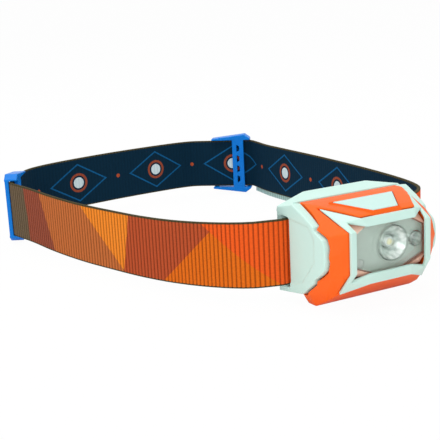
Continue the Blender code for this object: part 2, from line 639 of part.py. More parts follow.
def build_bracket():
    ear = millimetres(EAR_OUTLINE)
    tip_y = EAR_OUTLINE[0][0] * MM
    parts = []
    for side in (1.0, -1.0):
        plan = [
            (side * CHEEK_INNER, tip_y - 1.0 * MM),
            (side * CHEEK_FRONT, tip_y - 1.0 * MM),
            (side * (CHEEK_FRONT + 0.7 * MM), tip_y + 8.0 * MM),
            (side * CHEEK_REAR, CHEEK_BACK_Y + 1.0 * MM),
            (side * CHEEK_INNER, CHEEK_BACK_Y + 1.0 * MM),
        ]
        cheek = prism("cheek", "Z", plan, 0.0, 42.0 * MM)
        low, high = sorted((side * (CHEEK_INNER - 2.0 * MM), side * (CHEEK_REAR + 2.0 * MM)))
        combine(cheek, prism("ear shape", "X", ear, low, high), "INTERSECT")
        low, high = sorted((side * (CHEEK_INNER - 1.0 * MM), side * (CHEEK_INNER + RELIEF_DEPTH)))
        cut(cheek, prism("swing relief", "X", relief_outline(), low, high))
        low, high = sorted((side * BOSS_TIP, side * (CHEEK_INNER + RELIEF_DEPTH + 0.6 * MM)))
        join(cheek, rod("boss", "X", (PIVOT_Y, PIVOT_Z), BOSS_RADIUS, low, high))
        parts.append(cheek)
    bracket, other = parts
    bracket.name = "bracket"
    join(bracket, other)

    wall_half = CHEEK_INNER + 0.8 * MM
    wall_rear = BRACKET_WALL_Y + BRACKET_WALL
    wall_z = (BRACKET_WALL_BOTTOM, BRACKET_WALL_TOP)
    join(bracket, box("front wall", (-wall_half, wall_half), (BRACKET_WALL_Y, wall_rear), wall_z))
    side_x = CHEEK_REAR / MM
    inner_x = CHEEK_INNER / MM
    top_x = ROOF_HALF / MM
    roof_front = (
        (side_x - 0.7, 33.4), (side_x - 1.4, 36.0), (side_x - 2.6, 37.3),
        (inner_x + 0.75, 35.4), (inner_x, 34.6), (inner_x, 33.2),
    )
    roof_rear = (
        (side_x - 0.1, 32.9), (side_x - 1.2, 34.9), (top_x, 38.5),
        (top_x - 0.8, 36.7), (inner_x + 0.35, 33.8), (inner_x + 0.05, 32.7),
    )
    join(bracket, loft("roof", [roof_ring(roof_front, BRACKET_WALL_Y), roof_ring(roof_rear, ROOF_BACK_Y)]))

    half_slot = 0.5 * STRAP_WIDTH + 0.7 * MM
    slot_z = (STRAP_MID_Z - half_slot, STRAP_MID_Z + half_slot)
    slot_y = (wall_rear + 0.1 * MM, CHEEK_BACK_Y - SLOT_BAR)
    for side in (1.0, -1.0):
        x = sorted((side * (CHEEK_INNER - 1.0 * MM), side * (CHEEK_REAR + 3.0 * MM)))
        cut(bracket, box("strap slot", x, slot_y, slot_z))
    paint(bracket, "Mint bracket plastic", MINT_WHITE, 0.45)


def roof_ring(half, y):
    """A closed roof section: over the top from left to right, then back along the underside."""
    outer = millimetres(half[:3])
    inner = millimetres(half[3:])
    over = [(-x, z) for x, z in outer] + [p for p in reversed(outer)]
    under = [p for p in reversed(inner)] + [(-x, z) for x, z in inner]
    return [at("Y", p, y) for p in over + under]


# Headband
def spline(knots, step):
    """A centripetal Catmull-Rom curve through the knots, sampled about every step."""
    points = [Vector(k) for k in knots]
    ends = [points[0] * 2.0 - points[1]] + points + [points[-1] * 2.0 - points[-2]]
    out = []
    for i in range(1, len(ends) - 2):
        p0, p1, p2, p3 = ends[i - 1:i + 3]
        t0 = 0.0
        t1 = t0 + math.sqrt((p1 - p0).length)
        t2 = t1 + math.sqrt((p2 - p1).length)
        t3 = t2 + math.sqrt((p3 - p2).length)
        count = max(2, round((p2 - p1).length / step))
        for k in range(count):
            t = t1 + (t2 - t1) * k / count
            a1 = p0.lerp(p1, (t - t0) / (t1 - t0))
            a2 = p1.lerp(p2, (t - t1) / (t2 - t1))
            a3 = p2.lerp(p3, (t - t2) / (t3 - t2))
            b1 = a1.lerp(a2, (t - t0) / (t2 - t0))
            b2 = a2.lerp(a3, (t - t1) / (t3 - t1))
            out.append(b1.lerp(b2, (t - t1) / (t2 - t1)))
    out.append(points[-1])
    return out


def slider_frame(place, angle):
    """A slider's middle and its direction along the strap, in plan."""
    turn = math.radians(angle)
    return Vector(place) * MM, Vector((math.cos(turn), math.sin(turn)))


def run(knots):
    return [Vector((x, y, STRAP_MID_Z / MM - sink)) * MM for x, y, sink in knots]


def slider_run(place, angle, distances):
    """Points of the band's middle line through a slider."""
    middle, along = slider_frame(place, angle)
    return [(middle + along * d).to_3d() + Vector((0.0, 0.0, STRAP_MID_Z - SLIDER_SINK)) for d in distances]


def band_knots():
    """The band's middle line: left slider, left run, bracket, right run, right slider, back, left slider."""
    reach = 0.5 * SLIDER_LENGTH
    start = (-BAND_END, -0.5 * reach, -reach)
    knots = slider_run(LEFT_SLIDER_PLACE, LEFT_SLIDER_ANGLE, start)
    knots += run(LEFT_RUN)
    half = CHEEK_REAR + 0.6 * MM
    across = (0.5 * half, half, half + 0.8 * MM)
    knots += [Vector((-x, STRAP_CROSS_Y, STRAP_MID_Z)) for x in reversed(across)]
    knots += [Vector((x, STRAP_CROSS_Y, STRAP_MID_Z)) for x in across]
    knots += run(RIGHT_RUN)
    far = -reach - SLIDER_TRAVEL
    through = (reach, 0.5 * reach, 0.0, -0.5 * reach, -reach, 0.5 * (far - reach), far, far - 1.0 * MM)
    knots += slider_run(RIGHT_SLIDER_PLACE, RIGHT_SLIDER_ANGLE, through)
    knots += run(BACK_RUN)
    return knots + slider_run(LEFT_SLIDER_PLACE, LEFT_SLIDER_ANGLE, (reach, 0.5 * reach, BAND_END))


def ribbon(name, middle, offset, drop):
    """A flat strap along a middle line, moved outwards by an offset and down by a drop."""
    rings = []
    last = len(middle) - 1
    half = 0.5 * STRAP_THICK
    for i, point in enumerate(middle):
        ahead = middle[min(i + 1, last)] - middle[max(i - 1, 0)]
        inward = Vector((-ahead.y, ahead.x, 0.0)).normalized()
        ring = []
        for side, up in ((half, 1.0), (half, -1.0), (-half, -1.0), (-half, 1.0)):
            height = Vector((0.0, 0.0, up * 0.5 * STRAP_WIDTH - drop))
            ring.append(point - inward * (offset + side) + height)
        rings.append(ring)
    return loft(name, rings)


def build_band():
    middle = spline(band_knots(), PATH_STEP)
    band = ribbon("headband", middle, 0.0, 0.0)
    paint(band, "Elastic webbing", (0.35, 0.12, 0.03), 0.9)

    slider_end = slider_run(RIGHT_SLIDER_PLACE, RIGHT_SLIDER_ANGLE, (0.5 * SLIDER_LENGTH,))[0]
    corner = min(range(len(middle)), key=lambda i: (middle[i] - slider_end).length)
    walked = 0.0
    tail = []
    for i in range(corner, 0, -1):
        walked += (middle[i] - middle[i - 1]).length
        if TAIL_START < walked < TAIL_START + TAIL_LENGTH:
            tail.append(middle[i - 1])
    tail.reverse()
    outer = ribbon("band_tail", tail, STRAP_THICK + GAP, TAIL_DROP)
    paint(outer, "Pale elastic webbing", (0.55, 0.65, 0.6), 0.9)


def build_slider(name, place, angle, lean):
    """One slider from its local shape: u along the strap, n outwards, z up; lean picks the taller end."""
    rail_low = 0.5 * STRAP_WIDTH + RUN_GAP
    u = 0.5 * SLIDER_LENGTH
    end = rail_low + SLIDER_END_RAIL
    depth = SLIDER_HALF_DEPTH
    clear = 0.5 * STRAP_THICK + GAP
    rail = [(-u, rail_low), (u, rail_low), (u, end), (SLIDER_PEAK, SLIDER_HALF_HEIGHT), (-u, end)]
    body = prism(name, "Y", [(lean * a, b) for a, b in rail], -depth, depth)
    join(body, prism("rail", "Y", [(lean * a, -b) for a, b in rail], -depth, depth))
    reach = (-rail_low - 0.4 * MM, rail_low + 0.4 * MM)
    inset = 0.1 * MM
    bars = (
        (SLIDER_BAR_START, SLIDER_BAR_START + SLIDER_CENTRE_BAR, -depth + inset, -clear),
        (-u + inset, -u + SLIDER_END_BAR, clear, depth - inset),
        (u - SLIDER_END_BAR, u - inset, clear, depth - inset),
    )
    for u0, u1, n0, n1 in bars:
        join(body, box("bar", sorted((lean * u0, lean * u1)), (n0, n1), reach))
    middle, along = slider_frame(place, angle)
    body.data.transform(Matrix.Translation((0.0, UNDERSIDE_Y, 0.0)))
    body.data.transform(Matrix.Rotation(math.atan2(along.y, along.x), 4, "Z"))
    body.location = (middle.x, middle.y - UNDERSIDE_Y, STRAP_MID_Z - SLIDER_SINK)
    paint(body, "Blue slider plastic", BLUE, 0.35)


# Every piece of the tilting lamp turns about the hinge
LAMP_PIECES = (
    "housing", "bezel", "window", "window_gasket", "lens_panel", "main_lens", "flood_lens",
    "main_led", "flood_led", "red_led", "circuit_board", "heat_spreader", "board_screw_right",
    "board_screw_left", "tactile_switch", "battery_tray", "battery_contact_plus",
    "battery_contact_minus", "battery_pack", "door_gasket", "battery_door",
)

clear_scene()
build_housing()
build_bezel()
build_optics()
build_board()
build_button()
build_battery()
build_bracket()
build_band()
build_slider("slider_left", LEFT_SLIDER_PLACE, LEFT_SLIDER_ANGLE, -1.0)
build_slider("slider_right", RIGHT_SLIDER_PLACE, RIGHT_SLIDER_ANGLE, 1.0)
for piece in LAMP_PIECES:
    set_origin(bpy.data.objects[piece], 0.0, PIVOT_Y, PIVOT_Z)
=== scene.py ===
"""Looks of the headlamp: moulded shells, woven headband, optics, studio light and camera."""
import json
import math

import bmesh
import bpy
from mathutils import Matrix, Vector


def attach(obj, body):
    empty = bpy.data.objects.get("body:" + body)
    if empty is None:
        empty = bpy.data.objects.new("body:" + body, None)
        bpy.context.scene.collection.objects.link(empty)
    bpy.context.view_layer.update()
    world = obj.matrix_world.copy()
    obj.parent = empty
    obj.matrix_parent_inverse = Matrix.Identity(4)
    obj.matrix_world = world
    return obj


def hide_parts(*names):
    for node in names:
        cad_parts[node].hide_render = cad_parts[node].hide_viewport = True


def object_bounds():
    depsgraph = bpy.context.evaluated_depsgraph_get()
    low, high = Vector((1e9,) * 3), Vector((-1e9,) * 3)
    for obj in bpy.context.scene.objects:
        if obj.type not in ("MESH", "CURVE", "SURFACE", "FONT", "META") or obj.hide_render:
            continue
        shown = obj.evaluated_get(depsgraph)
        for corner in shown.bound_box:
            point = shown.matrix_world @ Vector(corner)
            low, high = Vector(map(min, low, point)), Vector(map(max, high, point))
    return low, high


MM = 0.001
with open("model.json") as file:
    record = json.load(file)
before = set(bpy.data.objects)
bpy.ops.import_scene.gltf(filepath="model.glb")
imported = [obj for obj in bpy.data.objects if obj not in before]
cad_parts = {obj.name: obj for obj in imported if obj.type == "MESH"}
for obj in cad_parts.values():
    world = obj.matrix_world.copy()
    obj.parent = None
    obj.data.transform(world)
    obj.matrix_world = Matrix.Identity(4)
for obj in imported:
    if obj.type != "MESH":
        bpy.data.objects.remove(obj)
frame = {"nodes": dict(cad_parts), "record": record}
cad_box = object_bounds()
scene = bpy.context.scene
BODY_OF = {node: body for body, nodes in frame["record"]["behaviour"]["bodies"].items() for node in nodes}
SIDES = (1.0, -1.0)

# The CAD drawing measures y from the bezel front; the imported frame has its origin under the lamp
FRONT_TO_ORIGIN = 19.25 * MM

# Headband, in the numbers of the part's source
STRAP_WIDTH = 25.0 * MM
STRAP_THICK = 1.4 * MM
STRAP_MID_Z = 18.7 * MM
STRAP_CROSS_Y = 28.8 * MM
CHEEK_REAR = 26.6 * MM
CHEEK_CLEAR = 0.6 * MM
CHEEK_LEAD = 0.8 * MM     # the strap runs straight this far past the cheek
TAIL_DROP = 3.0 * MM
TAIL_START = 1.5 * MM
TAIL_LENGTH = 84.0 * MM
TAIL_GAP = 0.3 * MM
BAND_END = 0.06 * MM    # the two ends of the webbing nearly meet in the left slider
SLIDER_SINK = 2.0 * MM
SLIDER_LENGTH = 20.8 * MM
SLIDER_TRAVEL = 6.0 * MM
SLIDER_LEAD = 1.0 * MM    # the strap runs straight this far past the slider's travel
RIGHT_SLIDER_PLACE = (50.6, 200.6)
RIGHT_SLIDER_ANGLE = -38.0
LEFT_SLIDER_PLACE = (-76.3, 183.8)
LEFT_SLIDER_ANGLE = 60.5
# Knots of each run in mm: x, y from the bezel front, and how far the strap has sunk there
LEFT_RUN = (
    (-80.5, 167.0, 2.0), (-78.5, 157.0, 2.2), (-75.5, 138.5, 2.8), (-70.5, 117.0, 3.4), (-65.0, 98.5, 3.6),
    (-59.5, 81.0, 3.6), (-54.0, 66.0, 3.2), (-48.5, 52.5, 2.3), (-42.5, 40.5, 1.2), (-37.0, 33.5, 0.5),
    (-32.0, 30.0, 0.0),
)
RIGHT_RUN = (
    (32.0, 30.0, 0.0), (37.0, 33.0, 0.7), (43.5, 38.0, 1.3), (49.5, 45.0, 1.8), (53.0, 53.5, 2.0),
    (55.0, 64.0, 2.0), (57.0, 86.5, 2.0), (58.2, 125.0, 2.0), (58.2, 160.0, 2.2), (58.3, 178.0, 2.3),
    (59.4, 189.5, 2.2),
)
BACK_RUN = (
    (32.5, 212.8, 1.8), (25.0, 212.7, 1.5), (12.5, 211.5, 1.2), (-5.5, 209.8, 1.0), (-23.0, 208.0, 1.0),
    (-45.5, 205.8, 1.4), (-56.5, 204.3, 1.8), (-62.5, 202.2, 2.0), (-67.0, 198.2, 2.0),
)
PATH_STEP = 4.0 * MM

# Weave of the strap: ribs across it, and a plain edge above and below
RIB_PITCH = 1.8 * MM
RIB_DEPTH = 0.32 * MM
RIB_STEPS = 6
INNER_RIB = 0.12            # depth of the ribs on the inner face, as a share of the outer ones
GROOVE_SHARPNESS = 1.6
SELVEDGE = 0.6 * MM
EDGE_ROUND = 0.25 * SELVEDGE
FACE_STEPS = 5
WEB_ANGLE = 70.0

# Shallow panel in each cheek: outline as y from the bezel front and z
CHEEK_PANEL = (
    (33.0, 31.4), (25.0, 31.4), (15.4, 30.6), (12.0, 26.8), (12.0, 18.0), (19.3, 9.0), (23.4, 7.6),
    (33.0, 6.8),
)
CHEEK_PANEL_DEPTH = 0.35
CHEEK_PANEL_REACH = 4.0
CHEEK_KINK = 25.6
CHEEK_KINK_Y = 14.0
CHEEK_FLARE = 1.0 / 20.6

# Cheek outline as y from the bezel front and z, and the gap that the lamp's sides keep round it
EAR_OUTLINE = (
    (6.0, 21.7), (6.3, 24.8), (7.3, 27.0), (10.0, 28.6), (11.9, 29.5), (12.2, 31.0), (18.0, 34.2),
    (24.2, 37.0), (33.6, 34.9), (33.6, 2.8), (19.5, 4.7), (12.9, 10.0), (12.5, 11.5), (9.2, 13.9),
    (7.0, 16.2), (6.2, 18.6),
)
EAR_NOSE_LOW = 3     # the last points of the outline and its first ones make the rounded front
EAR_NOSE_HIGH = 4
EAR_NOSE_STEP = 0.6
EAR_GAP = 0.7
RECESS_HALF = 21.95
SIDE_REACH = 8.0     # how far a cutter in the side reaches outwards

# Mouth of the strap slot in each cheek
SLOT_MOUTH_Y = (26.8, 28.0)
SLOT_MOUTH_Z = (5.6, 31.8)
SLOT_MOUTH_HALF = 22.9

# Button cap in plan, clockwise, as x and y from the bezel front, and its top at the front and rear edges
CAP_PLAN = ((-5.5, 3.9), (-13.4, 17.0), (13.4, 17.0), (5.5, 3.9))
CAP_FRONT_TOP = 35.7
CAP_REAR_TOP = 37.4
# Rim round the cap: room kept from the cap's side, and depth below its top
RIM_SECTION = ((0.3, 2.2), (0.3, 0.22), (0.38, 0.14), (0.55, 0.14), (1.15, 1.6), (1.15, 2.2))

# Slots in the sliders' inner bar, from the middle of the slider
SLOT_HEIGHTS = (-8.4, -2.8, 2.8, 8.4)
SLOT_MIDDLE = 3.9 * MM
SLOT_WIDTH = 1.4 * MM
SLOT_HEIGHT = 3.9 * MM
SLOT_TAPER = 0.6
SLOT_START = 4.0 * MM
SLOT_DEPTH = 3.3 * MM

# Optics, on lines along Y
AXIS_Z = 22.3 * MM
MAIN_LENS_X = 2.9 * MM
FLOOD_LENS_X = 13.2 * MM
RED_LED_X = -11.2 * MM
RED_LED_Z = AXIS_Z - 5.3 * MM
LENS_FRONT_Y = 3.4 * MM - FRONT_TO_ORIGIN
LED_BACK_Y = 9.9 * MM - FRONT_TO_ORIGIN

# Fine limits for the meshes
MERGE = 0.002 * MM
SEAM = 0.001 * MM
FLAT_ANGLE = 1.5
MITRE_LIMIT = 0.5    # an outline's sharp corner grows no further than this cosine allows


# Shader nodes
def hex_colour(code):
    """Linear colour from an sRGB hex value."""
    channels = [int(code[i:i + 2], 16) / 255.0 for i in (1, 3, 5)]
    return (*[v / 12.92 if v <= 0.04045 else ((v + 0.055) / 1.055) ** 2.4 for v in channels], 1.0)


def add(tree, kind, inputs=None, **settings):
    """One shader node with its settings; an input is a value, or an output to link from."""
    node = tree.nodes.new("ShaderNode" + kind)
    for key, value in settings.items():
        setattr(node, key, value)
    for socket, value in (inputs or {}).items():
        if isinstance(value, bpy.types.NodeSocket):
            tree.links.new(value, node.inputs[socket])
        else:
            node.inputs[socket].default_value = value
    return node


def maths(tree, operation, *values):
    return add(tree, "Math", dict(enumerate(values)), operation=operation).outputs[0]


def distance(tree, a, b):
    """Length of a flat step from its two parts."""
    squares = maths(tree, "ADD", maths(tree, "MULTIPLY", a, a), maths(tree, "MULTIPLY", b, b))
    return maths(tree, "POWER", squares, 0.5)


def mix_colour(tree, share, first, second):
    """The first colour where the share is 0, and the second where it is 1."""
    mixed = add(tree, "Mix", {"Factor": share, "A": first, "B": second}, data_type="RGBA")
    return mixed.outputs["Result"]


def colour_ramp(tree, share, stops):
    """Colours along a share from 0 to 1; each stop is a position and a colour."""
    ramp = add(tree, "ValToRGB", {"Fac": share})
    elements = ramp.color_ramp.elements
    for element, (position, code) in zip(elements, (stops[0], stops[-1])):
        element.position = position
        element.color = hex_colour(code)
    for position, code in stops[1:-1]:
        elements.new(position).color = hex_colour(code)
    return ramp.outputs[0]


def noise(tree, place, size, detail):
    """Noise whose lumps are about one size across."""
    return add(tree, "TexNoise", {"Vector": place, "Scale": 1.0 / size, "Detail": detail}).outputs[0]


def raise_surface(tree, shader, height, depth, strength):
    """Bump whose height of 0 to 1 stands for a real depth."""
    bump = add(tree, "Bump", {"Height": height, "Distance": depth, "Strength": strength})
    tree.links.new(bump.outputs[0], shader.inputs["Normal"])


def principled(name, colour, roughness, sockets=None):
    """A material whose constants sit on the shader's own sockets."""
    material = bpy.data.materials.new(name)
    material.use_nodes = True
    shader = material.node_tree.nodes["Principled BSDF"]
    shader.inputs["Base Color"].default_value = hex_colour(colour)
    shader.inputs["Roughness"].default_value = roughness
    for socket, value in (sockets or {}).items():
        shader.inputs[socket].default_value = value
    return material, material.node_tree, shader


# Moulded and rolled materials
GLOSS_SWING = 0.05           # how far the grain carries the roughness up and down
NOISE_LOW = 0.3              # noise mostly stays between these two
NOISE_HIGH = 0.7
GRAIN_STRENGTH = 0.5


def grained(name, colour, shade, roughness, grain_mm, cloud_mm, depth_mm, sockets=None):
    """A moulded or rolled surface: fine grain in the bump, slow drift in colour and gloss."""
    material, tree, shader = principled(name, colour, roughness, sockets)
    place = add(tree, "TexCoord").outputs["Object"]
    grain = noise(tree, place, grain_mm * MM, detail=2.0)
    cloud = noise(tree, place, cloud_mm * MM, detail=3.0)
    tint = mix_colour(tree, cloud, hex_colour(colour), hex_colour(shade))
    tree.links.new(tint, shader.inputs["Base Color"])
    gloss = add(tree, "MapRange", {
        "Value": grain, "From Min": NOISE_LOW, "From Max": NOISE_HIGH,
        "To Min": roughness - GLOSS_SWING, "To Max": roughness + GLOSS_SWING,
    })
    tree.links.new(gloss.outputs[0], shader.inputs["Roughness"])
    raise_surface(tree, shader, grain, depth_mm * MM, GRAIN_STRENGTH)
    return material


# ABS, moulded with a fine spark-eroded grain: pale mint, soft satin, no mirror highlights
MINT_ABS = grained(
    "mint ABS, satin moulded", "#CEEEE5", "#C7E8DD", 0.42, 0.5, 9.0, 0.02, {"Specular IOR Level": 0.35},
)
# ABS cap, polished a little more than the bracket: a slow soft highlight
MINT_BUTTON = grained(
    "mint ABS, button cap", "#C9EBE4", "#C2E6DE", 0.36, 0.5, 7.0, 0.015, {"Specular IOR Level": 0.4},
)
# Elastomer over polycarbonate: saturated orange, satin, a pale veil where light grazes it
ORANGE_SHELL = grained(
    "orange elastomer, soft moulded", "#FF6B1A", "#FC6314", 0.46, 0.45, 11.0, 0.02,
    {"Specular IOR Level": 0.2},
)
# Acetal: clear bright blue, waxy gloss
BLUE_ACETAL = grained(
    "blue acetal, moulded", "#0080E2", "#0077D6", 0.34, 0.6, 6.0, 0.012, {"Specular IOR Level": 0.15},
)
# Polycarbonate holder: cool grey, a little glossy
GREY_HOLDER = grained("grey polycarbonate, lens holder", "#C0D4C8", "#AEC0B5", 0.34, 0.8, 3.0, 0.03)
# Silicone: dull, dusty, warm brown; round the window this brown is a painted reflection of the orange shell
# next to it
SILICONE_PAINTED_WARM = grained("brown silicone, moulded seal", "#A87462", "#9A6857", 0.6, 0.4, 4.0, 0.01)
# Glass-filled nylon: matt black with a grey grain
BLACK_NYLON = grained("black nylon, moulded", "#1A1B1C", "#232425", 0.55, 0.5, 6.0, 0.02)
# Polycarbonate door: dark grey, satin
GREY_DOOR = grained("dark grey polycarbonate, moulded", "#3A3D40", "#34373A", 0.48, 0.5, 8.0, 0.02)
# Solder mask over glass cloth: deep green, smooth lacquer
SOLDER_MASK = grained("green solder mask", "#0F4A2A", "#0C3F24", 0.3, 0.7, 3.0, 0.01)
# Rolled aluminium: grey, faint rolling grain
ALUMINIUM = grained("rolled aluminium", "#C9CACB", "#BDBEC0", 0.34, 0.3, 5.0, 0.008, {"Metallic": 1.0})
# Zinc plated steel: bright, slightly yellow grey
ZINC_STEEL = grained("zinc plated steel", "#CFCDC6", "#C2C0B9", 0.26, 0.3, 2.0, 0.006, {"Metallic": 1.0})
# Gold flashed bronze spring: warm, smooth
GOLD_FLASH = grained("gold flashed bronze", "#E4BE6A", "#D8B05A", 0.24, 0.3, 2.0, 0.006, {"Metallic": 1.0})
# Shrink film over a cell: dark blue grey, glossy with small wrinkles
SHRINK_FILM = grained("shrink film on a cell", "#2B3138", "#252B31", 0.22, 2.2, 9.0, 0.06)
# Ceramic LED carrier: chalk white
LED_CERAMIC = grained("white LED ceramic", "#F1F1EA", "#E6E6DF", 0.5, 0.3, 1.5, 0.006)
# Phosphor layer: matt warm yellow
PHOSPHOR = grained("yellow LED phosphor", "#E9D84A", "#DCC63A", 0.55, 0.3, 1.0, 0.006)
# Frosted acrylic: pale grey, soft gloss
FROSTED_GUIDE = grained("frosted acrylic light guide", "#C3CFC8", "#B4C1BA", 0.5, 0.4, 1.5, 0.01)
# Red lens resin: deep red, glossy
RED_RESIN = grained("red LED resin", "#8E2420", "#7A1C1A", 0.2, 0.4, 1.5, 0.006)
# Polycarbonate at the window's thick corners, tinted peach: a painted reflection of the orange shell beside
# them
CORNER_PAINTED_REFLECTION = grained(
    "polycarbonate, painted shell reflection at the corner", "#FFD4BE", "#F4C3AC", 0.3, 0.6, 4.0, 0.01, {"Alpha": 0.9},
)


# Clear and metallised materials
RIPPLE = 5.0 * MM
RIPPLE_DEPTH = 0.02 * MM
RIPPLE_STRENGTH = 0.3


def clear_plastic(name, colour, roughness, ior, body):
    """Clear moulded plastic with a faint flow ripple; its body is how much it shows against bare air."""
    material, tree, shader = principled(
        name, colour, roughness, {"IOR": ior, "Transmission Weight": 1.0, "Alpha": body},
    )
    place = add(tree, "TexCoord").outputs["Object"]
    ripple = noise(tree, place, RIPPLE, detail=1.0)
    raise_surface(tree, shader, ripple, RIPPLE_DEPTH, RIPPLE_STRENGTH)
    return material


# Polycarbonate window: clear, hard-coated, thin ripple
CLEAR_WINDOW = clear_plastic("clear polycarbonate window", "#FBFFFD", 0.02, 1.45, 0.3)
# Acrylic: clear and bright
CLEAR_ACRYLIC = clear_plastic("clear acrylic lens", "#FFFFFF", 0.02, 1.49, 0.6)

FACET = 1.5 * MM
FACET_DEPTH = 0.15 * MM
FACET_STRENGTH = 0.45
# Facet colours, bright and grey: a painted reflection of the room in the cup
FACET_PAINTED_REFLECTION = ((0.25, "#F2FAF6"), (0.7, "#9DB2A8"))


def metallised_cup():
    """Vapour-coated cup: small bright and grey facets painted into its colour, a painted reflection of the
    room as a stippled reflector shows it.
    """
    material, tree, shader = principled("vapour metallised acrylic, painted reflections", "#DDE2E0", 0.3, {"Metallic": 1.0})
    place = add(tree, "TexCoord").outputs["Object"]
    cells = add(tree, "TexVoronoi", {"Vector": place, "Scale": 1.0 / FACET}, feature="SMOOTH_F1")
    depth = cells.outputs["Distance"]
    tree.links.new(colour_ramp(tree, depth, FACET_PAINTED_REFLECTION), shader.inputs["Base Color"])
    raise_surface(tree, shader, depth, FACET_DEPTH, FACET_STRENGTH)
    return material


METALLISED = metallised_cup()

# Share of the core's radius, and the colour painted there: the yellow die's image, then pale and grey rings
# of painted reflection
CORE_RADIUS = 2.2 * MM
CORE_PAINTED_IMAGE = (
    (0.0, "#D9D27A"), (0.46, "#CFCB82"), (0.58, "#C6D2CA"), (0.7, "#E9F2ED"), (0.82, "#A9BBB3"),
    (1.0, "#DCE8E2"),
)


def lens_core():
    """Stands for clear acrylic over a light source: the yellow die's image, enlarged, painted in the middle,
    and painted pale and grey rings of reflection round it.
    """
    material, tree, shader = principled("acrylic lens core, painted die image", "#C9D6CF", 0.12, {"Coat Weight": 0.6})
    split = add(tree, "SeparateXYZ", {0: add(tree, "TexCoord").outputs["Object"]})
    side = maths(tree, "SUBTRACT", split.outputs[0], MAIN_LENS_X)
    height = maths(tree, "SUBTRACT", split.outputs[2], AXIS_Z)
    share = maths(tree, "MULTIPLY", distance(tree, side, height), 1.0 / CORE_RADIUS)
    tree.links.new(colour_ramp(tree, share, CORE_PAINTED_IMAGE), shader.inputs["Base Color"])
    return material


PAINTED_LENS_CORE = lens_core()


# Webbing materials: the UV map runs along the strap and across it, both from 0 to 1
# Colour blocks of the outer face, from the left slider: start in mm, lean in mm per mm of height, colour
BLOCKS = (
    (25.0, 0.1, "#964C36"), (43.0, 0.45, "#C26C36"), (83.0, 1.1, "#F08A28"), (98.0, -0.2, "#B8502A"),
    (132.0, -1.15, "#E06C14"), (154.0, 1.3, "#EC5C1C"),
)
FIRST_BLOCK = "#6B5A44"
BLOCK_TURN = 197.0          # the blocks run back from here on
# Darker between the ribs: partly the dark warp yarn there, partly painted shade in the grooves
CROWN_SHARE = 0.75          # a rib is at its full colour from this share of its height
GROOVE_PAINTED_SHADE = 0.34         # brightness left in a groove
FIBRE_SIZE = 0.625          # in mm
FIBRE_STRETCH = 0.5
FIBRE_SWING = 0.3

# Motifs of the inner face, in mm: spacing, half length and half height of a diamond
MOTIF_PITCH = 46.0
MOTIF_HALF = (15.6, 9.4)
NAVY = "#04283C"
# Painted shade on the inner face: full colour from this share of a rib's height, and the brightness left in
# a groove
NAVY_CROWN_SHARE = 0.8
NAVY_GROOVE_LIGHT = 0.85
NAVY_RELIEF = 0.2

# Threads are about 0.4 mm apart; drawn at 0.9 mm so that they still show
THREAD_PITCH = 0.9
THREAD_SHARE = 0.12
WEAVE_DEPTH = 0.18 * MM
WEAVE_RELIEF = 0.5


def web_places(tree, length):
    """Place along and across the strap in millimetres, from its own UV map."""
    uv = add(tree, "UVMap", uv_map="webbing").outputs[0]
    split = add(tree, "SeparateXYZ", {0: uv})
    along = maths(tree, "MULTIPLY", split.outputs[0], length / MM)
    across = maths(tree, "MULTIPLY_ADD", split.outputs[1], STRAP_WIDTH / MM, -0.5 * STRAP_WIDTH / MM)
    return along, across


def rib_share(tree, along):
    """1 on the crown of a rib and 0 in the groove between two."""
    turn = maths(tree, "MULTIPLY", along, math.pi * MM / RIB_PITCH)
    return maths(tree, "ABSOLUTE", maths(tree, "SINE", turn))


def woven(shader, tree, across, rib, relief=WEAVE_RELIEF):
    """Thread relief on cloth: ribs across the strap and finer threads along it."""
    thread = maths(tree, "SINE", maths(tree, "MULTIPLY", across, 2.0 * math.pi / THREAD_PITCH))
    height = maths(tree, "MULTIPLY_ADD", thread, THREAD_SHARE, rib)
    raise_surface(tree, shader, height, WEAVE_DEPTH, relief)


def shade_colour(tree, shader, colour, light):
    """A colour made brighter or darker by a share."""
    shaded = add(tree, "VectorMath", {0: colour, "Scale": light}, operation="SCALE")
    tree.links.new(shaded.outputs[0], shader.inputs["Base Color"])


def printed_webbing(length):
    """Polyester elastic, sublimation printed: matt colour blocks on round ribs, dark between the ribs from
    the dark warp yarn and painted shade.
    """
    material, tree, shader = principled(
        "printed polyester elastic", "#B4652F", 0.78, {"Specular IOR Level": 0.12},
    )
    along, across = web_places(tree, length)
    folded = maths(tree, "PINGPONG", along, BLOCK_TURN)
    colour = hex_colour(FIRST_BLOCK)
    for start, lean, code in BLOCKS:
        edge = maths(tree, "MULTIPLY_ADD", across, lean, folded)
        inside = maths(tree, "GREATER_THAN", edge, start)
        colour = mix_colour(tree, inside, colour, hex_colour(code))
    rib = rib_share(tree, along)
    drawn = maths(tree, "MULTIPLY", along, FIBRE_STRETCH)
    spot = add(tree, "CombineXYZ", {0: drawn, 1: across}).outputs[0]
    fibre = noise(tree, spot, FIBRE_SIZE, detail=3.0)
    # Painted shade in the grooves, over the dark warp yarn between the ribs
    groove_shade = add(tree, "MapRange", {
        "Value": rib, "From Max": CROWN_SHARE, "To Min": GROOVE_PAINTED_SHADE, "To Max": 1.0,
    })
    worn = maths(tree, "MULTIPLY_ADD", fibre, FIBRE_SWING, -0.5 * FIBRE_SWING)
    shade_colour(tree, shader, colour, maths(tree, "ADD", groove_shade.outputs[0], worn))
    woven(shader, tree, across, rib)
    return material


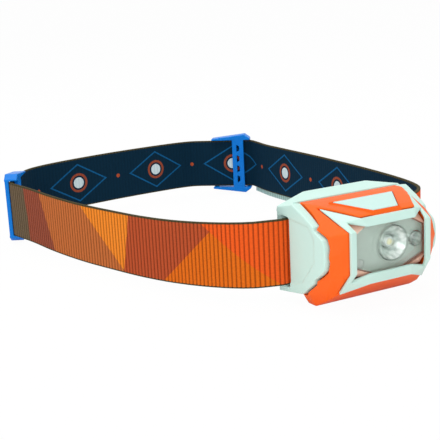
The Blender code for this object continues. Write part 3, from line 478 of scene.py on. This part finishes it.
def lined_webbing(length):
    """Inner face: smooth navy elastic with a thin printed row of diamonds, rings and dots."""
    material, tree, shader = principled("navy polyester elastic", NAVY, 0.82, {"Specular IOR Level": 0.1})
    along, across = web_places(tree, length)
    wrapped = maths(tree, "WRAP", along, 0.5 * MOTIF_PITCH, -0.5 * MOTIF_PITCH)
    sideways = maths(tree, "ABSOLUTE", wrapped)
    upright = maths(tree, "MULTIPLY", maths(tree, "ABSOLUTE", across), 1.0 / MOTIF_HALF[1])
    diamond = maths(tree, "MULTIPLY_ADD", sideways, 1.0 / MOTIF_HALF[0], upright)
    from_middle = distance(tree, wrapped, across)
    from_side = distance(tree, maths(tree, "SUBTRACT", sideways, 0.5 * MOTIF_PITCH), across)
    # Each print colour is a band of one distance: middle, half width, colour
    bands = (
        (diamond, 1.0, 0.045, "#0F5A8C"),
        (from_middle, 4.3, 0.6, "#9A4A33"),
        (from_middle, 0.0, 2.8, "#D4E6EA"),
        (from_side, 0.0, 1.0, "#B5502E"),
    )
    colour = hex_colour(NAVY)
    for reach, middle, half, code in bands:
        inside = maths(tree, "COMPARE", reach, middle, half)
        colour = mix_colour(tree, inside, colour, hex_colour(code))
    rib = rib_share(tree, along)
    # Painted shade: a little darker in the grooves between the ribs
    groove_shade = add(tree, "MapRange", {
        "Value": rib, "From Max": NAVY_CROWN_SHARE, "To Min": NAVY_GROOVE_LIGHT, "To Max": 1.0,
    })
    shade_colour(tree, shader, colour, groove_shade.outputs[0])
    woven(shader, tree, across, rib, NAVY_RELIEF)
    return material


def plain_webbing(name, colour, shade, length):
    """Undyed or edge yarn: matt, one colour, darker in the grooves as painted shade."""
    material, tree, shader = principled(name, colour, 0.85, {"Specular IOR Level": 0.15})
    along, across = web_places(tree, length)
    rib = rib_share(tree, along)
    # Painted shade: the shade colour in the grooves, the yarn's own colour on the crowns
    tint = mix_colour(tree, rib, hex_colour(shade), hex_colour(colour))
    tree.links.new(tint, shader.inputs["Base Color"])
    woven(shader, tree, across, rib)
    return material


# Pieces
def spline(knots, step):
    """A centripetal Catmull-Rom curve through the knots, sampled about every step."""
    points = [Vector(k) for k in knots]
    ends = [points[0] * 2.0 - points[1]] + points + [points[-1] * 2.0 - points[-2]]
    out = []
    for i in range(1, len(ends) - 2):
        p0, p1, p2, p3 = ends[i - 1:i + 3]
        t1 = math.sqrt((p1 - p0).length)
        t2 = t1 + math.sqrt((p2 - p1).length)
        t3 = t2 + math.sqrt((p3 - p2).length)
        count = max(2, round((p2 - p1).length / step))
        for k in range(count):
            t = t1 + (t2 - t1) * k / count
            a1 = p0.lerp(p1, t / t1)
            a2 = p1.lerp(p2, (t - t1) / (t2 - t1))
            a3 = p2.lerp(p3, (t - t2) / (t3 - t2))
            b1 = a1.lerp(a2, t / t2)
            b2 = a2.lerp(a3, (t - t1) / (t3 - t1))
            out.append(b1.lerp(b2, (t - t1) / (t2 - t1)))
    out.append(points[-1])
    return out


def new_mesh(name, bm):
    mesh = bpy.data.meshes.new(name)
    bm.to_mesh(mesh)
    bm.free()
    return mesh


def keep_piece(name, bm, materials, node, smooth_angle=40.0, stands_for=True):
    """Turn a bmesh into a piece that moves with a CAD node's body and mostly stands for that node."""
    mesh = new_mesh(name, bm)
    mesh.shade_smooth()
    mesh.set_sharp_from_angle(angle=math.radians(smooth_angle))
    for material in materials:
        mesh.materials.append(material)
    obj = bpy.data.objects.new(name, mesh)
    scene.collection.objects.link(obj)
    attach(obj, BODY_OF[node])
    if stands_for:
        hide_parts(node)
    return obj


def merged_copy(node):
    """A CAD node's mesh with its loose triangles merged and its flat faces made whole."""
    bm = bmesh.new()
    bm.from_mesh(frame["nodes"][node].data)
    bmesh.ops.remove_doubles(bm, verts=bm.verts, dist=MERGE)
    bmesh.ops.dissolve_limit(bm, angle_limit=math.radians(FLAT_ANGLE), verts=bm.verts, edges=bm.edges)
    return bm


# Moulded shells
REMESH_FILL = 0.95          # share of the octree that the shape takes up
SMOOTH_STEP = 0.5
FACES_KEPT = 0.25
SHELL_ANGLE = 60.0


def take_out(holder, cutters):
    """Take each cutter's space out of an object."""
    for cutter in cutters:
        modifier = holder.modifiers.new("Carved", "BOOLEAN")
        modifier.operation = "DIFFERENCE"
        modifier.solver = "EXACT"
        modifier.object = cutter


def moulded(name, node, material, depth, passes, carve=(), trim=()):
    """A moulded shell: the node's own shape in an even fine mesh, smoothed so that its edges are round."""
    holder = bpy.data.objects.new("blank", new_mesh("blank", merged_copy(node)))
    scene.collection.objects.link(holder)
    take_out(holder, carve)
    even = holder.modifiers.new("Even mesh", "REMESH")
    even.mode = "SHARP"
    even.octree_depth = depth
    even.scale = REMESH_FILL
    even.use_remove_disconnected = False
    soft = holder.modifiers.new("Round edges", "SMOOTH")
    soft.factor = SMOOTH_STEP
    soft.iterations = passes
    fewer = holder.modifiers.new("Fewer faces", "DECIMATE")
    fewer.ratio = FACES_KEPT
    take_out(holder, trim)
    graph = bpy.context.evaluated_depsgraph_get()
    bm = bmesh.new()
    bm.from_object(holder, graph)
    for extra in (holder, *carve, *trim):
        bpy.data.objects.remove(extra)
    return keep_piece(name, bm, [material], node, SHELL_ANGLE)


def drawn_place(x, y, z):
    """A point of the drawing in mm, with y from the bezel front, as a point of the frame."""
    return Vector((x, y - FRONT_TO_ORIGIN / MM, z)) * MM


def prism_cutter(points, step):
    """A flat outline pushed along a step, as a tool to carve with."""
    bm = bmesh.new()
    face = bm.faces.new([bm.verts.new(point) for point in points])
    pushed = bmesh.ops.extrude_face_region(bm, geom=[face])
    moved = [v for v in pushed["geom"] if isinstance(v, bmesh.types.BMVert)]
    bmesh.ops.translate(bm, vec=step, verts=moved)
    bmesh.ops.recalc_face_normals(bm, faces=bm.faces)
    tool = bpy.data.objects.new("cutter", new_mesh("cutter", bm))
    scene.collection.objects.link(tool)
    return tool


def side_cutters(outline, half, reach):
    """A cutter on each side: an outline of y and z, set at its half width there and pushed outwards."""
    tools = []
    for side in SIDES:
        points = [drawn_place(side * half(y), y, z) for y, z in outline]
        tools.append(prism_cutter(points, (side * reach * MM, 0.0, 0.0)))
    return tools


def cheek_panels():
    """A shallow panel sunk into the outside of each cheek."""
    def floor(y):
        return CHEEK_KINK + (y - CHEEK_KINK_Y) * CHEEK_FLARE - CHEEK_PANEL_DEPTH
    return side_cutters(CHEEK_PANEL, floor, CHEEK_PANEL_REACH)


def grown(outline, room):
    """A closed outline moved outwards by an even distance; its points run clockwise."""
    points = [Vector(p) for p in outline]
    out = []
    for before, here, after in zip(points[-1:] + points, points, points[1:] + points[:1]):
        first = (here - before).normalized()
        second = (after - here).normalized()
        normal = (Vector((-first.y, first.x)) + Vector((-second.y, second.x))).normalized()
        out.append(here + normal * room / max(MITRE_LIMIT, normal.dot(Vector((-first.y, first.x)))))
    return out


def ear_recesses():
    """The even gap round each cheek, as a clean cut in the lamp's sides."""
    outline = grown(EAR_OUTLINE, EAR_GAP)
    nose = spline(outline[-EAR_NOSE_LOW:] + outline[:EAR_NOSE_HIGH], EAR_NOSE_STEP)
    return side_cutters(nose + outline[EAR_NOSE_HIGH:-EAR_NOSE_LOW], lambda y: RECESS_HALF, SIDE_REACH)


def wider_slots():
    """A little more room in front of the strap where it enters each cheek."""
    low, high = SLOT_MOUTH_Y
    bottom, top = SLOT_MOUTH_Z
    mouth = ((low, bottom), (high, bottom), (high, top), (low, top))
    return side_cutters(mouth, lambda y: SLOT_MOUTH_HALF, SIDE_REACH)


def bar_slots(place, angle, lean):
    """Four slots through a slider's inner bar, a little lower on one side."""
    slider_turn = Matrix.Rotation(math.radians(angle), 4, "Z")
    middle = Vector((place[0] * MM, place[1] * MM - FRONT_TO_ORIGIN, STRAP_MID_Z - SLIDER_SINK))
    tools = []
    for height in SLOT_HEIGHTS:
        corners = []
        for across, up in ((-1.0, -1.0), (1.0, -SLOT_TAPER), (1.0, SLOT_TAPER), (-1.0, 1.0)):
            u = lean * (SLOT_MIDDLE + across * 0.5 * SLOT_WIDTH)
            corners.append(Vector((u, -SLOT_START, height * MM + up * 0.5 * SLOT_HEIGHT)))
        tool = prism_cutter(corners, (0.0, SLOT_DEPTH, 0.0))
        tool.data.transform(Matrix.Translation(middle) @ slider_turn)
        tools.append(tool)
    return tools


moulded("housing_shell", "housing", ORANGE_SHELL, depth=8, passes=22, trim=ear_recesses())
moulded("bezel_frame", "bezel", MINT_ABS, depth=8, passes=14)
cheek_cuts = cheek_panels() + wider_slots()
moulded("bracket_shell", "bracket", MINT_ABS, depth=8, passes=22, carve=cheek_cuts)
moulded("button_cap", "power_button", MINT_BUTTON, depth=7, passes=10)
SLIDERS = (
    ("slider_left_buckle", "slider_left", LEFT_SLIDER_PLACE, LEFT_SLIDER_ANGLE, -1.0),
    ("slider_right_buckle", "slider_right", RIGHT_SLIDER_PLACE, RIGHT_SLIDER_ANGLE, 1.0),
)
for name, node, place, angle, lean in SLIDERS:
    slots = bar_slots(place, angle, lean)
    moulded(name, node, BLUE_ACETAL, depth=7, passes=8, carve=slots)
moulded("holder_plate", "lens_panel", GREY_HOLDER, depth=8, passes=4)


def button_rim():
    """A low rim of the shell round the button: the cap looks flush, and the rim slopes away outside."""
    tops = {CAP_PLAN[0][1]: CAP_FRONT_TOP, CAP_PLAN[1][1]: CAP_REAR_TOP}
    bm = bmesh.new()
    rings = []
    for room, below in RIM_SECTION:
        ring = []
        for (x, y), (_, corner_y) in zip(grown(CAP_PLAN, room), CAP_PLAN):
            ring.append(bm.verts.new(drawn_place(x, y, tops[corner_y] - below)))
        rings.append(ring)
    for ring, after in zip(rings, rings[1:] + rings[:1]):
        for i in range(len(CAP_PLAN)):
            bm.faces.new((ring[i - 1], ring[i], after[i], after[i - 1]))
    bmesh.ops.recalc_face_normals(bm, faces=bm.faces)
    keep_piece("button_rim", bm, [ORANGE_SHELL], "housing", stands_for=False)


button_rim()


# Headband
def run(knots):
    return [Vector((x, y, STRAP_MID_Z / MM - sink)) * MM for x, y, sink in knots]


def slider_run(place, angle, distances):
    """Points of the band's middle line through a slider."""
    turn = math.radians(angle)
    along = Vector((math.cos(turn), math.sin(turn), 0.0))
    middle = Vector((place[0] * MM, place[1] * MM, STRAP_MID_Z - SLIDER_SINK))
    return [middle + along * d for d in distances]


def band_knots():
    """The band's middle line: left slider, left run, bracket, right run, right slider, back, left slider."""
    reach = 0.5 * SLIDER_LENGTH
    knots = slider_run(LEFT_SLIDER_PLACE, LEFT_SLIDER_ANGLE, (-BAND_END, -0.5 * reach, -reach))
    knots += run(LEFT_RUN)
    half = CHEEK_REAR + CHEEK_CLEAR
    across = (0.5 * half, half, half + CHEEK_LEAD)
    knots += [Vector((-x, STRAP_CROSS_Y, STRAP_MID_Z)) for x in reversed(across)]
    knots += [Vector((x, STRAP_CROSS_Y, STRAP_MID_Z)) for x in across]
    knots += run(RIGHT_RUN)
    far = -reach - SLIDER_TRAVEL
    through = (reach, 0.5 * reach, 0.0, -0.5 * reach, -reach, 0.5 * (far - reach), far, far - SLIDER_LEAD)
    knots += slider_run(RIGHT_SLIDER_PLACE, RIGHT_SLIDER_ANGLE, through)
    knots += run(BACK_RUN)
    return knots + slider_run(LEFT_SLIDER_PLACE, LEFT_SLIDER_ANGLE, (reach, 0.5 * reach, BAND_END))


def walked_lengths(middle):
    """Length walked along a line, at each of its points."""
    lengths = [0.0]
    for a, b in zip(middle, middle[1:]):
        lengths.append(lengths[-1] + (b - a).length)
    return lengths


def tail_line(band):
    """The stretch of the band's middle line that the tail follows, back from the right slider."""
    slider_end = slider_run(RIGHT_SLIDER_PLACE, RIGHT_SLIDER_ANGLE, (0.5 * SLIDER_LENGTH,))[0]
    start = min(range(len(band)), key=lambda i: (band[i] - slider_end).length)
    walked = 0.0
    points = []
    for i in range(start, 0, -1):
        walked += (band[i] - band[i - 1]).length
        if TAIL_START < walked < TAIL_START + TAIL_LENGTH:
            points.append(band[i - 1])
    points.reverse()
    return points


FACES = ("outer", "inner", "edge")


def strap_section():
    """Once round the strap: share of half thickness, height in metres, and the face that starts there."""
    half = 0.5 * STRAP_WIDTH
    rounded = half - EDGE_ROUND
    flat = half - SELVEDGE
    heights = [flat * (1.0 - 2.0 * i / FACE_STEPS) for i in range(FACE_STEPS + 1)]
    outer = [(1.0, rounded, "edge")] + [(1.0, z, "outer") for z in heights] + [(1.0, -rounded, "edge")]
    low = [(0.5, -half, "edge"), (-0.5, -half, "edge"), (-1.0, -rounded, "edge")]
    inner = [(-1.0, -z, "inner") for z in heights]
    high = [(-1.0, rounded, "edge"), (-0.5, half, "edge"), (0.5, half, "edge")]
    return outer + low + inner + high


def strap_stations(middle, lengths, rows):
    """Evenly spaced places along the strap: point, outward direction, and depth share of the groove."""
    last = len(middle) - 1
    out = []
    k = 0
    for i in range(rows + 1):
        s = lengths[-1] * i / rows
        while k < last - 1 and lengths[k + 1] < s:
            k += 1
        share = (s - lengths[k]) / (lengths[k + 1] - lengths[k])
        before = (middle[min(k + 1, last)] - middle[max(k - 1, 0)]).normalized()
        after = (middle[min(k + 2, last)] - middle[k]).normalized()
        ahead = before.lerp(after, share)
        outward = Vector((ahead.y, -ahead.x, 0.0)).normalized()
        groove = (1.0 - abs(math.sin(math.pi * s / RIB_PITCH))) ** GROOVE_SHARPNESS
        out.append((middle[k].lerp(middle[k + 1], share), outward, groove))
    return out


def webbing(name, middle, offset, drop, node, materials):
    """A ribbed strap: a grid whose columns go round the strap and whose rows follow its length."""
    lengths = walked_lengths(middle)
    rows = round(lengths[-1] / RIB_PITCH * RIB_STEPS)
    stations = strap_stations(middle, lengths, rows)
    section = strap_section()
    around = len(section)
    bm = bmesh.new()
    uv = bm.loops.layers.uv.new("webbing")
    bmesh.ops.create_grid(bm, x_segments=rows, y_segments=around, size=1.0)
    place = {}
    for vert in bm.verts:
        place[vert] = (round(0.5 * (vert.co.x + 1.0) * rows), round(0.5 * (vert.co.y + 1.0) * around))
    for vert, (i, j) in place.items():
        side, height, face = section[j % around]
        point, outward, groove = stations[i]
        reach = side * 0.5 * STRAP_THICK
        if face == "outer":
            reach -= RIB_DEPTH * groove
        if face == "inner":
            reach += INNER_RIB * RIB_DEPTH * groove
        vert.co = point + outward * (offset + reach) + Vector((0.0, -FRONT_TO_ORIGIN, height - drop))
    for face in bm.faces:
        columns = sorted({place[v][1] for v in face.verts})
        kind = section[columns[0]][2]
        if kind != "edge" and section[columns[1] % around][2] != kind:
            kind = "edge"
        face.material_index = FACES.index(kind)
        for loop in face.loops:
            i, j = place[loop.vert]
            loop[uv].uv = (i / rows, section[j % around][1] / STRAP_WIDTH + 0.5)
    bmesh.ops.remove_doubles(bm, verts=bm.verts, dist=SEAM)
    ends = bmesh.ops.holes_fill(bm, edges=[e for e in bm.edges if e.is_boundary])
    for face in ends["faces"]:
        face.material_index = FACES.index("edge")
    bmesh.ops.recalc_face_normals(bm, faces=bm.faces)
    return keep_piece(name, bm, materials, node, WEB_ANGLE)


band_middle = spline(band_knots(), PATH_STEP)
band_length = walked_lengths(band_middle)[-1]
# Selvedge yarn: dark olive, as the print stops short of the edge, with painted shade in its grooves
EDGE_YARN = plain_webbing("olive selvedge yarn", "#4A4228", "#33301E", band_length)
band_faces = [printed_webbing(band_length), lined_webbing(band_length), EDGE_YARN]
webbing("headband_webbing", band_middle, 0.0, 0.0, "headband", band_faces)

tail_middle = tail_line(band_middle)
tail_length = walked_lengths(tail_middle)[-1]
# Pale elastic: undyed mint-grey yarn, matt, with painted shade in its grooves
PALE_YARN = plain_webbing("pale polyester elastic", "#CBEAE4", "#94B5AE", tail_length)
tail_faces = [PALE_YARN, PALE_YARN, PALE_YARN]
tail_offset = STRAP_THICK + TAIL_GAP
webbing("tail_webbing", tail_middle, tail_offset, TAIL_DROP, "band_tail", tail_faces)


# Optics: profiles as radius and depth from the lens front, in mm
MAIN_CUP = (
    (2.3, 5.4), (2.45, 4.4), (3.0, 3.1), (3.9, 1.9), (4.8, 1.0), (5.35, 0.5), (5.65, 0.25), (5.8, 0.1),
    (5.95, 0.12), (6.0, 0.35), (6.1, 0.4), (6.2, 0.6), (6.2, 1.3), (5.6, 2.3), (4.8, 3.2), (3.8, 4.5),
    (3.1, 5.6), (2.3, 5.6), (2.3, 5.4),
)
MAIN_CUP_RIM = 5.97 * MM     # the metal stops here, and the plain flange starts
MAIN_CORE = ((0.0, 2.2), (0.8, 2.25), (1.5, 2.45), (2.0, 2.8), (2.2, 3.2), (2.1, 5.0), (0.0, 5.0))
FLOOD_CUP = (
    (1.0, 3.6), (1.2, 2.4), (1.6, 1.3), (2.0, 0.5), (2.15, 0.1), (2.4, 0.1), (2.5, 0.4), (2.5, 1.2),
    (2.0, 2.6), (1.5, 4.2), (1.0, 4.2), (1.0, 3.6),
)
MAIN_COLLAR = 6.75
FLOOD_COLLAR = 3.0
COLLAR_STEPS = ((0.0, 0.75), (0.0, 0.5), (0.12, 0.38), (0.38, 0.38), (0.5, 0.5), (0.5, 0.75), (0.0, 0.75))
GUIDE = ((0.0, 0.66), (0.9, 0.68), (1.35, 0.74), (1.5, 0.9), (1.5, 4.5), (0.0, 4.5))

# Light sources: dome as radius and y from the back, and the thickness of the two plates
DOME = ((0.0, -0.8), (0.6, -0.75), (1.1, -0.62), (1.35, -0.42))
DOME_SEGMENTS = 32
CARRIER = 0.45 * MM
CARRIER_ROUND = 0.1 * MM
DIE_LAYER = 0.12 * MM
DIE_ROUND = 0.04 * MM
MAIN_LED_SIDE = 3.2 * MM
MAIN_DIE = 2.0 * MM
SMALL_LED_SIDE = 2.4 * MM
FLOOD_DIE = 1.1 * MM
RED_DIE = 1.0 * MM


def spun(profile, front_y, x, z, segments=64):
    """A profile of radius and depth in mm, spun about a line along Y."""
    bm = bmesh.new()
    verts = [bm.verts.new((x + radius * MM, front_y + depth * MM, z)) for radius, depth in profile]
    for a, b in zip(verts, verts[1:]):
        bm.edges.new((a, b))
    bmesh.ops.spin(bm, geom=bm.verts[:] + bm.edges[:], cent=(x, 0.0, z), axis=(0.0, 1.0, 0.0),
                   angle=2.0 * math.pi, steps=segments, use_merge=True)
    bmesh.ops.remove_doubles(bm, verts=bm.verts, dist=SEAM)
    bmesh.ops.recalc_face_normals(bm, faces=bm.faces)
    return bm


def ring_finish(bm, x, z, radius):
    """The second material on every face outside a radius."""
    for face in bm.faces:
        spot = face.calc_center_median()
        if math.hypot(spot.x - x, spot.z - z) > radius:
            face.material_index = 1


# Main optic: a metallised cup inside a plain flange
main_cup = spun(MAIN_CUP, LENS_FRONT_Y, MAIN_LENS_X, AXIS_Z)
ring_finish(main_cup, MAIN_LENS_X, AXIS_Z, MAIN_CUP_RIM)
keep_piece("main_lens_cup", main_cup, [METALLISED, GREY_HOLDER], "main_lens")
# Core of the main optic, standing for clear acrylic: its front face has the light source's enlarged image
# painted on it
main_core = spun(MAIN_CORE, LENS_FRONT_Y, MAIN_LENS_X, AXIS_Z)
keep_piece("main_lens_core", main_core, [PAINTED_LENS_CORE], "main_lens")
flood_cup = spun(FLOOD_CUP, LENS_FRONT_Y, FLOOD_LENS_X, AXIS_Z)
keep_piece("flood_lens_cup", flood_cup, [METALLISED], "flood_lens")

# A low collar on the holder round each optic
COLLARS = (("main_collar", MAIN_LENS_X, MAIN_COLLAR), ("flood_collar", FLOOD_LENS_X, FLOOD_COLLAR))
for name, x, radius in COLLARS:
    profile = [(radius + out, depth) for out, depth in COLLAR_STEPS]
    collar = spun(profile, LENS_FRONT_Y, x, AXIS_Z)
    keep_piece(name, collar, [GREY_HOLDER], "lens_panel", stands_for=False)

# Frosted light guide that fills the small hole at the lower left of the holder
guide = spun(GUIDE, LENS_FRONT_Y, RED_LED_X, RED_LED_Z)
keep_piece("red_light_guide", guide, [FROSTED_GUIDE], "lens_panel", stands_for=False)


def slab(bm, place, size, soften, index):
    """One plate with softened edges in a finish of its own."""
    turn = Matrix.Translation(place) @ Matrix.Diagonal((*size, 1.0))
    made = bmesh.ops.create_cube(bm, size=1.0, matrix=turn)
    edges = list({edge for vert in made["verts"] for edge in vert.link_edges})
    old = set(bm.faces) - {face for vert in made["verts"] for face in vert.link_faces}
    bmesh.ops.bevel(bm, geom=edges, offset=soften, segments=2, profile=0.5, affect="EDGES", material=-1)
    for face in set(bm.faces) - old:
        face.material_index = index


def led_package(name, node, x, z, side, die, die_material):
    """A light source: ceramic carrier, a coloured die and a clear dome over it."""
    bm = spun(DOME, LED_BACK_Y, x, z, DOME_SEGMENTS)
    for face in bm.faces:
        face.material_index = 2
    slab(bm, (x, LED_BACK_Y - 0.5 * CARRIER, z), (side, CARRIER, side), CARRIER_ROUND, 0)
    slab(bm, (x, LED_BACK_Y - CARRIER - 0.5 * DIE_LAYER, z), (die, DIE_LAYER, die), DIE_ROUND, 1)
    keep_piece(name, bm, [LED_CERAMIC, die_material, CLEAR_ACRYLIC], node)


led_package(
    "main_led_package", "main_led", MAIN_LENS_X, AXIS_Z, MAIN_LED_SIDE, MAIN_DIE, PHOSPHOR,
)
led_package(
    "flood_led_package", "flood_led", FLOOD_LENS_X, AXIS_Z, SMALL_LED_SIDE, FLOOD_DIE, PHOSPHOR,
)
led_package(
    "red_led_package", "red_led", RED_LED_X, RED_LED_Z, SMALL_LED_SIDE, RED_DIE, RED_RESIN,
)

# Window: clear in front, with its folded corners tinted by a painted reflection of the orange shell; a face
# is folded when its normal leans this much
FOLD_LEAST = 0.3
FOLD_MOST = 0.98
WINDOW_ANGLE = 20.0
window = merged_copy("window")
for face in window.faces:
    if FOLD_LEAST < abs(face.normal.y) < FOLD_MOST:
        face.material_index = 1
keep_piece("window_cover", window, [CLEAR_WINDOW, CORNER_PAINTED_REFLECTION], "window", WINDOW_ANGLE)

# Finishes of the solids that keep their own shape
FINISHES = {
    # The window gasket's warm brown is a painted reflection of the orange shell
    "window_gasket": SILICONE_PAINTED_WARM, "circuit_board": SOLDER_MASK, "heat_spreader": ALUMINIUM,
    "board_screw_right": ZINC_STEEL, "board_screw_left": ZINC_STEEL, "tactile_switch": BLACK_NYLON,
    "battery_tray": BLACK_NYLON, "battery_contact_plus": GOLD_FLASH, "battery_contact_minus": GOLD_FLASH,
    "battery_pack": SHRINK_FILM, "door_gasket": SILICONE_PAINTED_WARM, "battery_door": GREY_DOOR,
}
for node, material in FINISHES.items():
    mesh = frame["nodes"][node].data
    mesh.materials.clear()
    mesh.materials.append(material)


# Studio
WHITE = "#FFFFFF"
WORLD_FILL = 0.52
WORLD_SHOWN = (1.0, 1.0)      # share of the white seen straight and through glass, and in gloss
FLOOR_PAPER = "#FBFBFB"
FLOOR_SHOWN = (0.97, 0.3)
FLOOR_HALF = 6.0
FLOOR_DROP = 0.2 * MM
# Softboxes: name, place, what they point at, side in metres, watts
SOFTBOXES = (
    ("top softbox", (-0.15, 0.15, 1.0), (0.0, 0.05, 0.0), 0.9, 7.0),
    ("front softbox", (-0.65, -0.8, 0.25), (0.0, 0.05, 0.02), 0.8, 3.7),
)
# Camera fitted to the lamp and the strap: its own directions, and its place in mm
CAMERA_RIGHT = (0.8700, -0.4906, -0.0489)
CAMERA_UP = (0.1604, 0.1878, 0.9690)
CAMERA_BACK = (-0.4662, -0.8509, 0.2421)
CAMERA_PLACE = (-214.67, -285.98, 119.02)
CAMERA_LENS = 81.82
CAMERA_SENSOR = 36.0
CAMERA_NEAR = 0.01


def shown_white(tree, hidden, white, shown):
    """The background's own white for rays that show it, and its plain shader for all others."""
    straight, in_gloss = shown
    path = add(tree, "LightPath").outputs
    clear = maths(tree, "MAXIMUM", path["Is Camera Ray"], path["Is Transmission Ray"])
    gloss = maths(tree, "MULTIPLY", path["Is Glossy Ray"], in_gloss)
    share = maths(tree, "MAXIMUM", maths(tree, "MULTIPLY", clear, straight), gloss)
    return add(tree, "MixShader", {0: share, 1: hidden.outputs[0], 2: white.outputs[0]}).outputs[0]


def studio_world():
    world = bpy.data.worlds.new("white studio")
    world.use_nodes = True
    tree = world.node_tree
    tree.nodes.clear()
    fill = add(tree, "Background", {"Color": hex_colour(WHITE), "Strength": WORLD_FILL})
    white = add(tree, "Background", {"Color": hex_colour(WHITE), "Strength": 1.0})
    add(tree, "OutputWorld", {"Surface": shown_white(tree, fill, white, WORLD_SHOWN)})
    scene.world = world


def studio_floor():
    """A white table that shows only a faint shadow."""
    material = bpy.data.materials.new("white table")
    material.use_nodes = True
    tree = material.node_tree
    tree.nodes.clear()
    paper = add(tree, "BsdfDiffuse", {"Color": hex_colour(FLOOR_PAPER)})
    glow = add(tree, "Emission", {"Color": hex_colour(WHITE), "Strength": 1.0})
    add(tree, "OutputMaterial", {"Surface": shown_white(tree, paper, glow, FLOOR_SHOWN)})
    bm = bmesh.new()
    bmesh.ops.create_grid(bm, x_segments=1, y_segments=1, size=FLOOR_HALF)
    bmesh.ops.translate(bm, vec=(0.0, 0.0, cad_box[0][2] - FLOOR_DROP), verts=bm.verts)
    mesh = new_mesh("table", bm)
    mesh.materials.append(material)
    table = bpy.data.objects.new("table", mesh)
    scene.collection.objects.link(table)


def softbox(name, place, target, size, power):
    light = bpy.data.lights.new(name, "AREA")
    light.shape = "SQUARE"
    light.size = size
    light.energy = power
    lamp = bpy.data.objects.new(name, light)
    scene.collection.objects.link(lamp)
    lamp.location = place
    lamp.rotation_euler = (Vector(target) - Vector(place)).to_track_quat("-Z", "Y").to_euler()


def photo_camera():
    """The photograph's own viewpoint."""
    data = bpy.data.cameras.new("photo camera")
    data.sensor_width = CAMERA_SENSOR
    data.lens = CAMERA_LENS
    data.clip_start = CAMERA_NEAR
    camera = bpy.data.objects.new("photo camera", data)
    scene.collection.objects.link(camera)
    turn = Matrix((CAMERA_RIGHT, CAMERA_UP, CAMERA_BACK)).transposed().to_4x4()
    camera.matrix_world = Matrix.Translation(Vector(CAMERA_PLACE) * MM) @ turn
    scene.camera = camera


studio_world()
studio_floor()
for box in SOFTBOXES:
    softbox(*box)
photo_camera()
scene.view_settings.view_transform = "Standard"
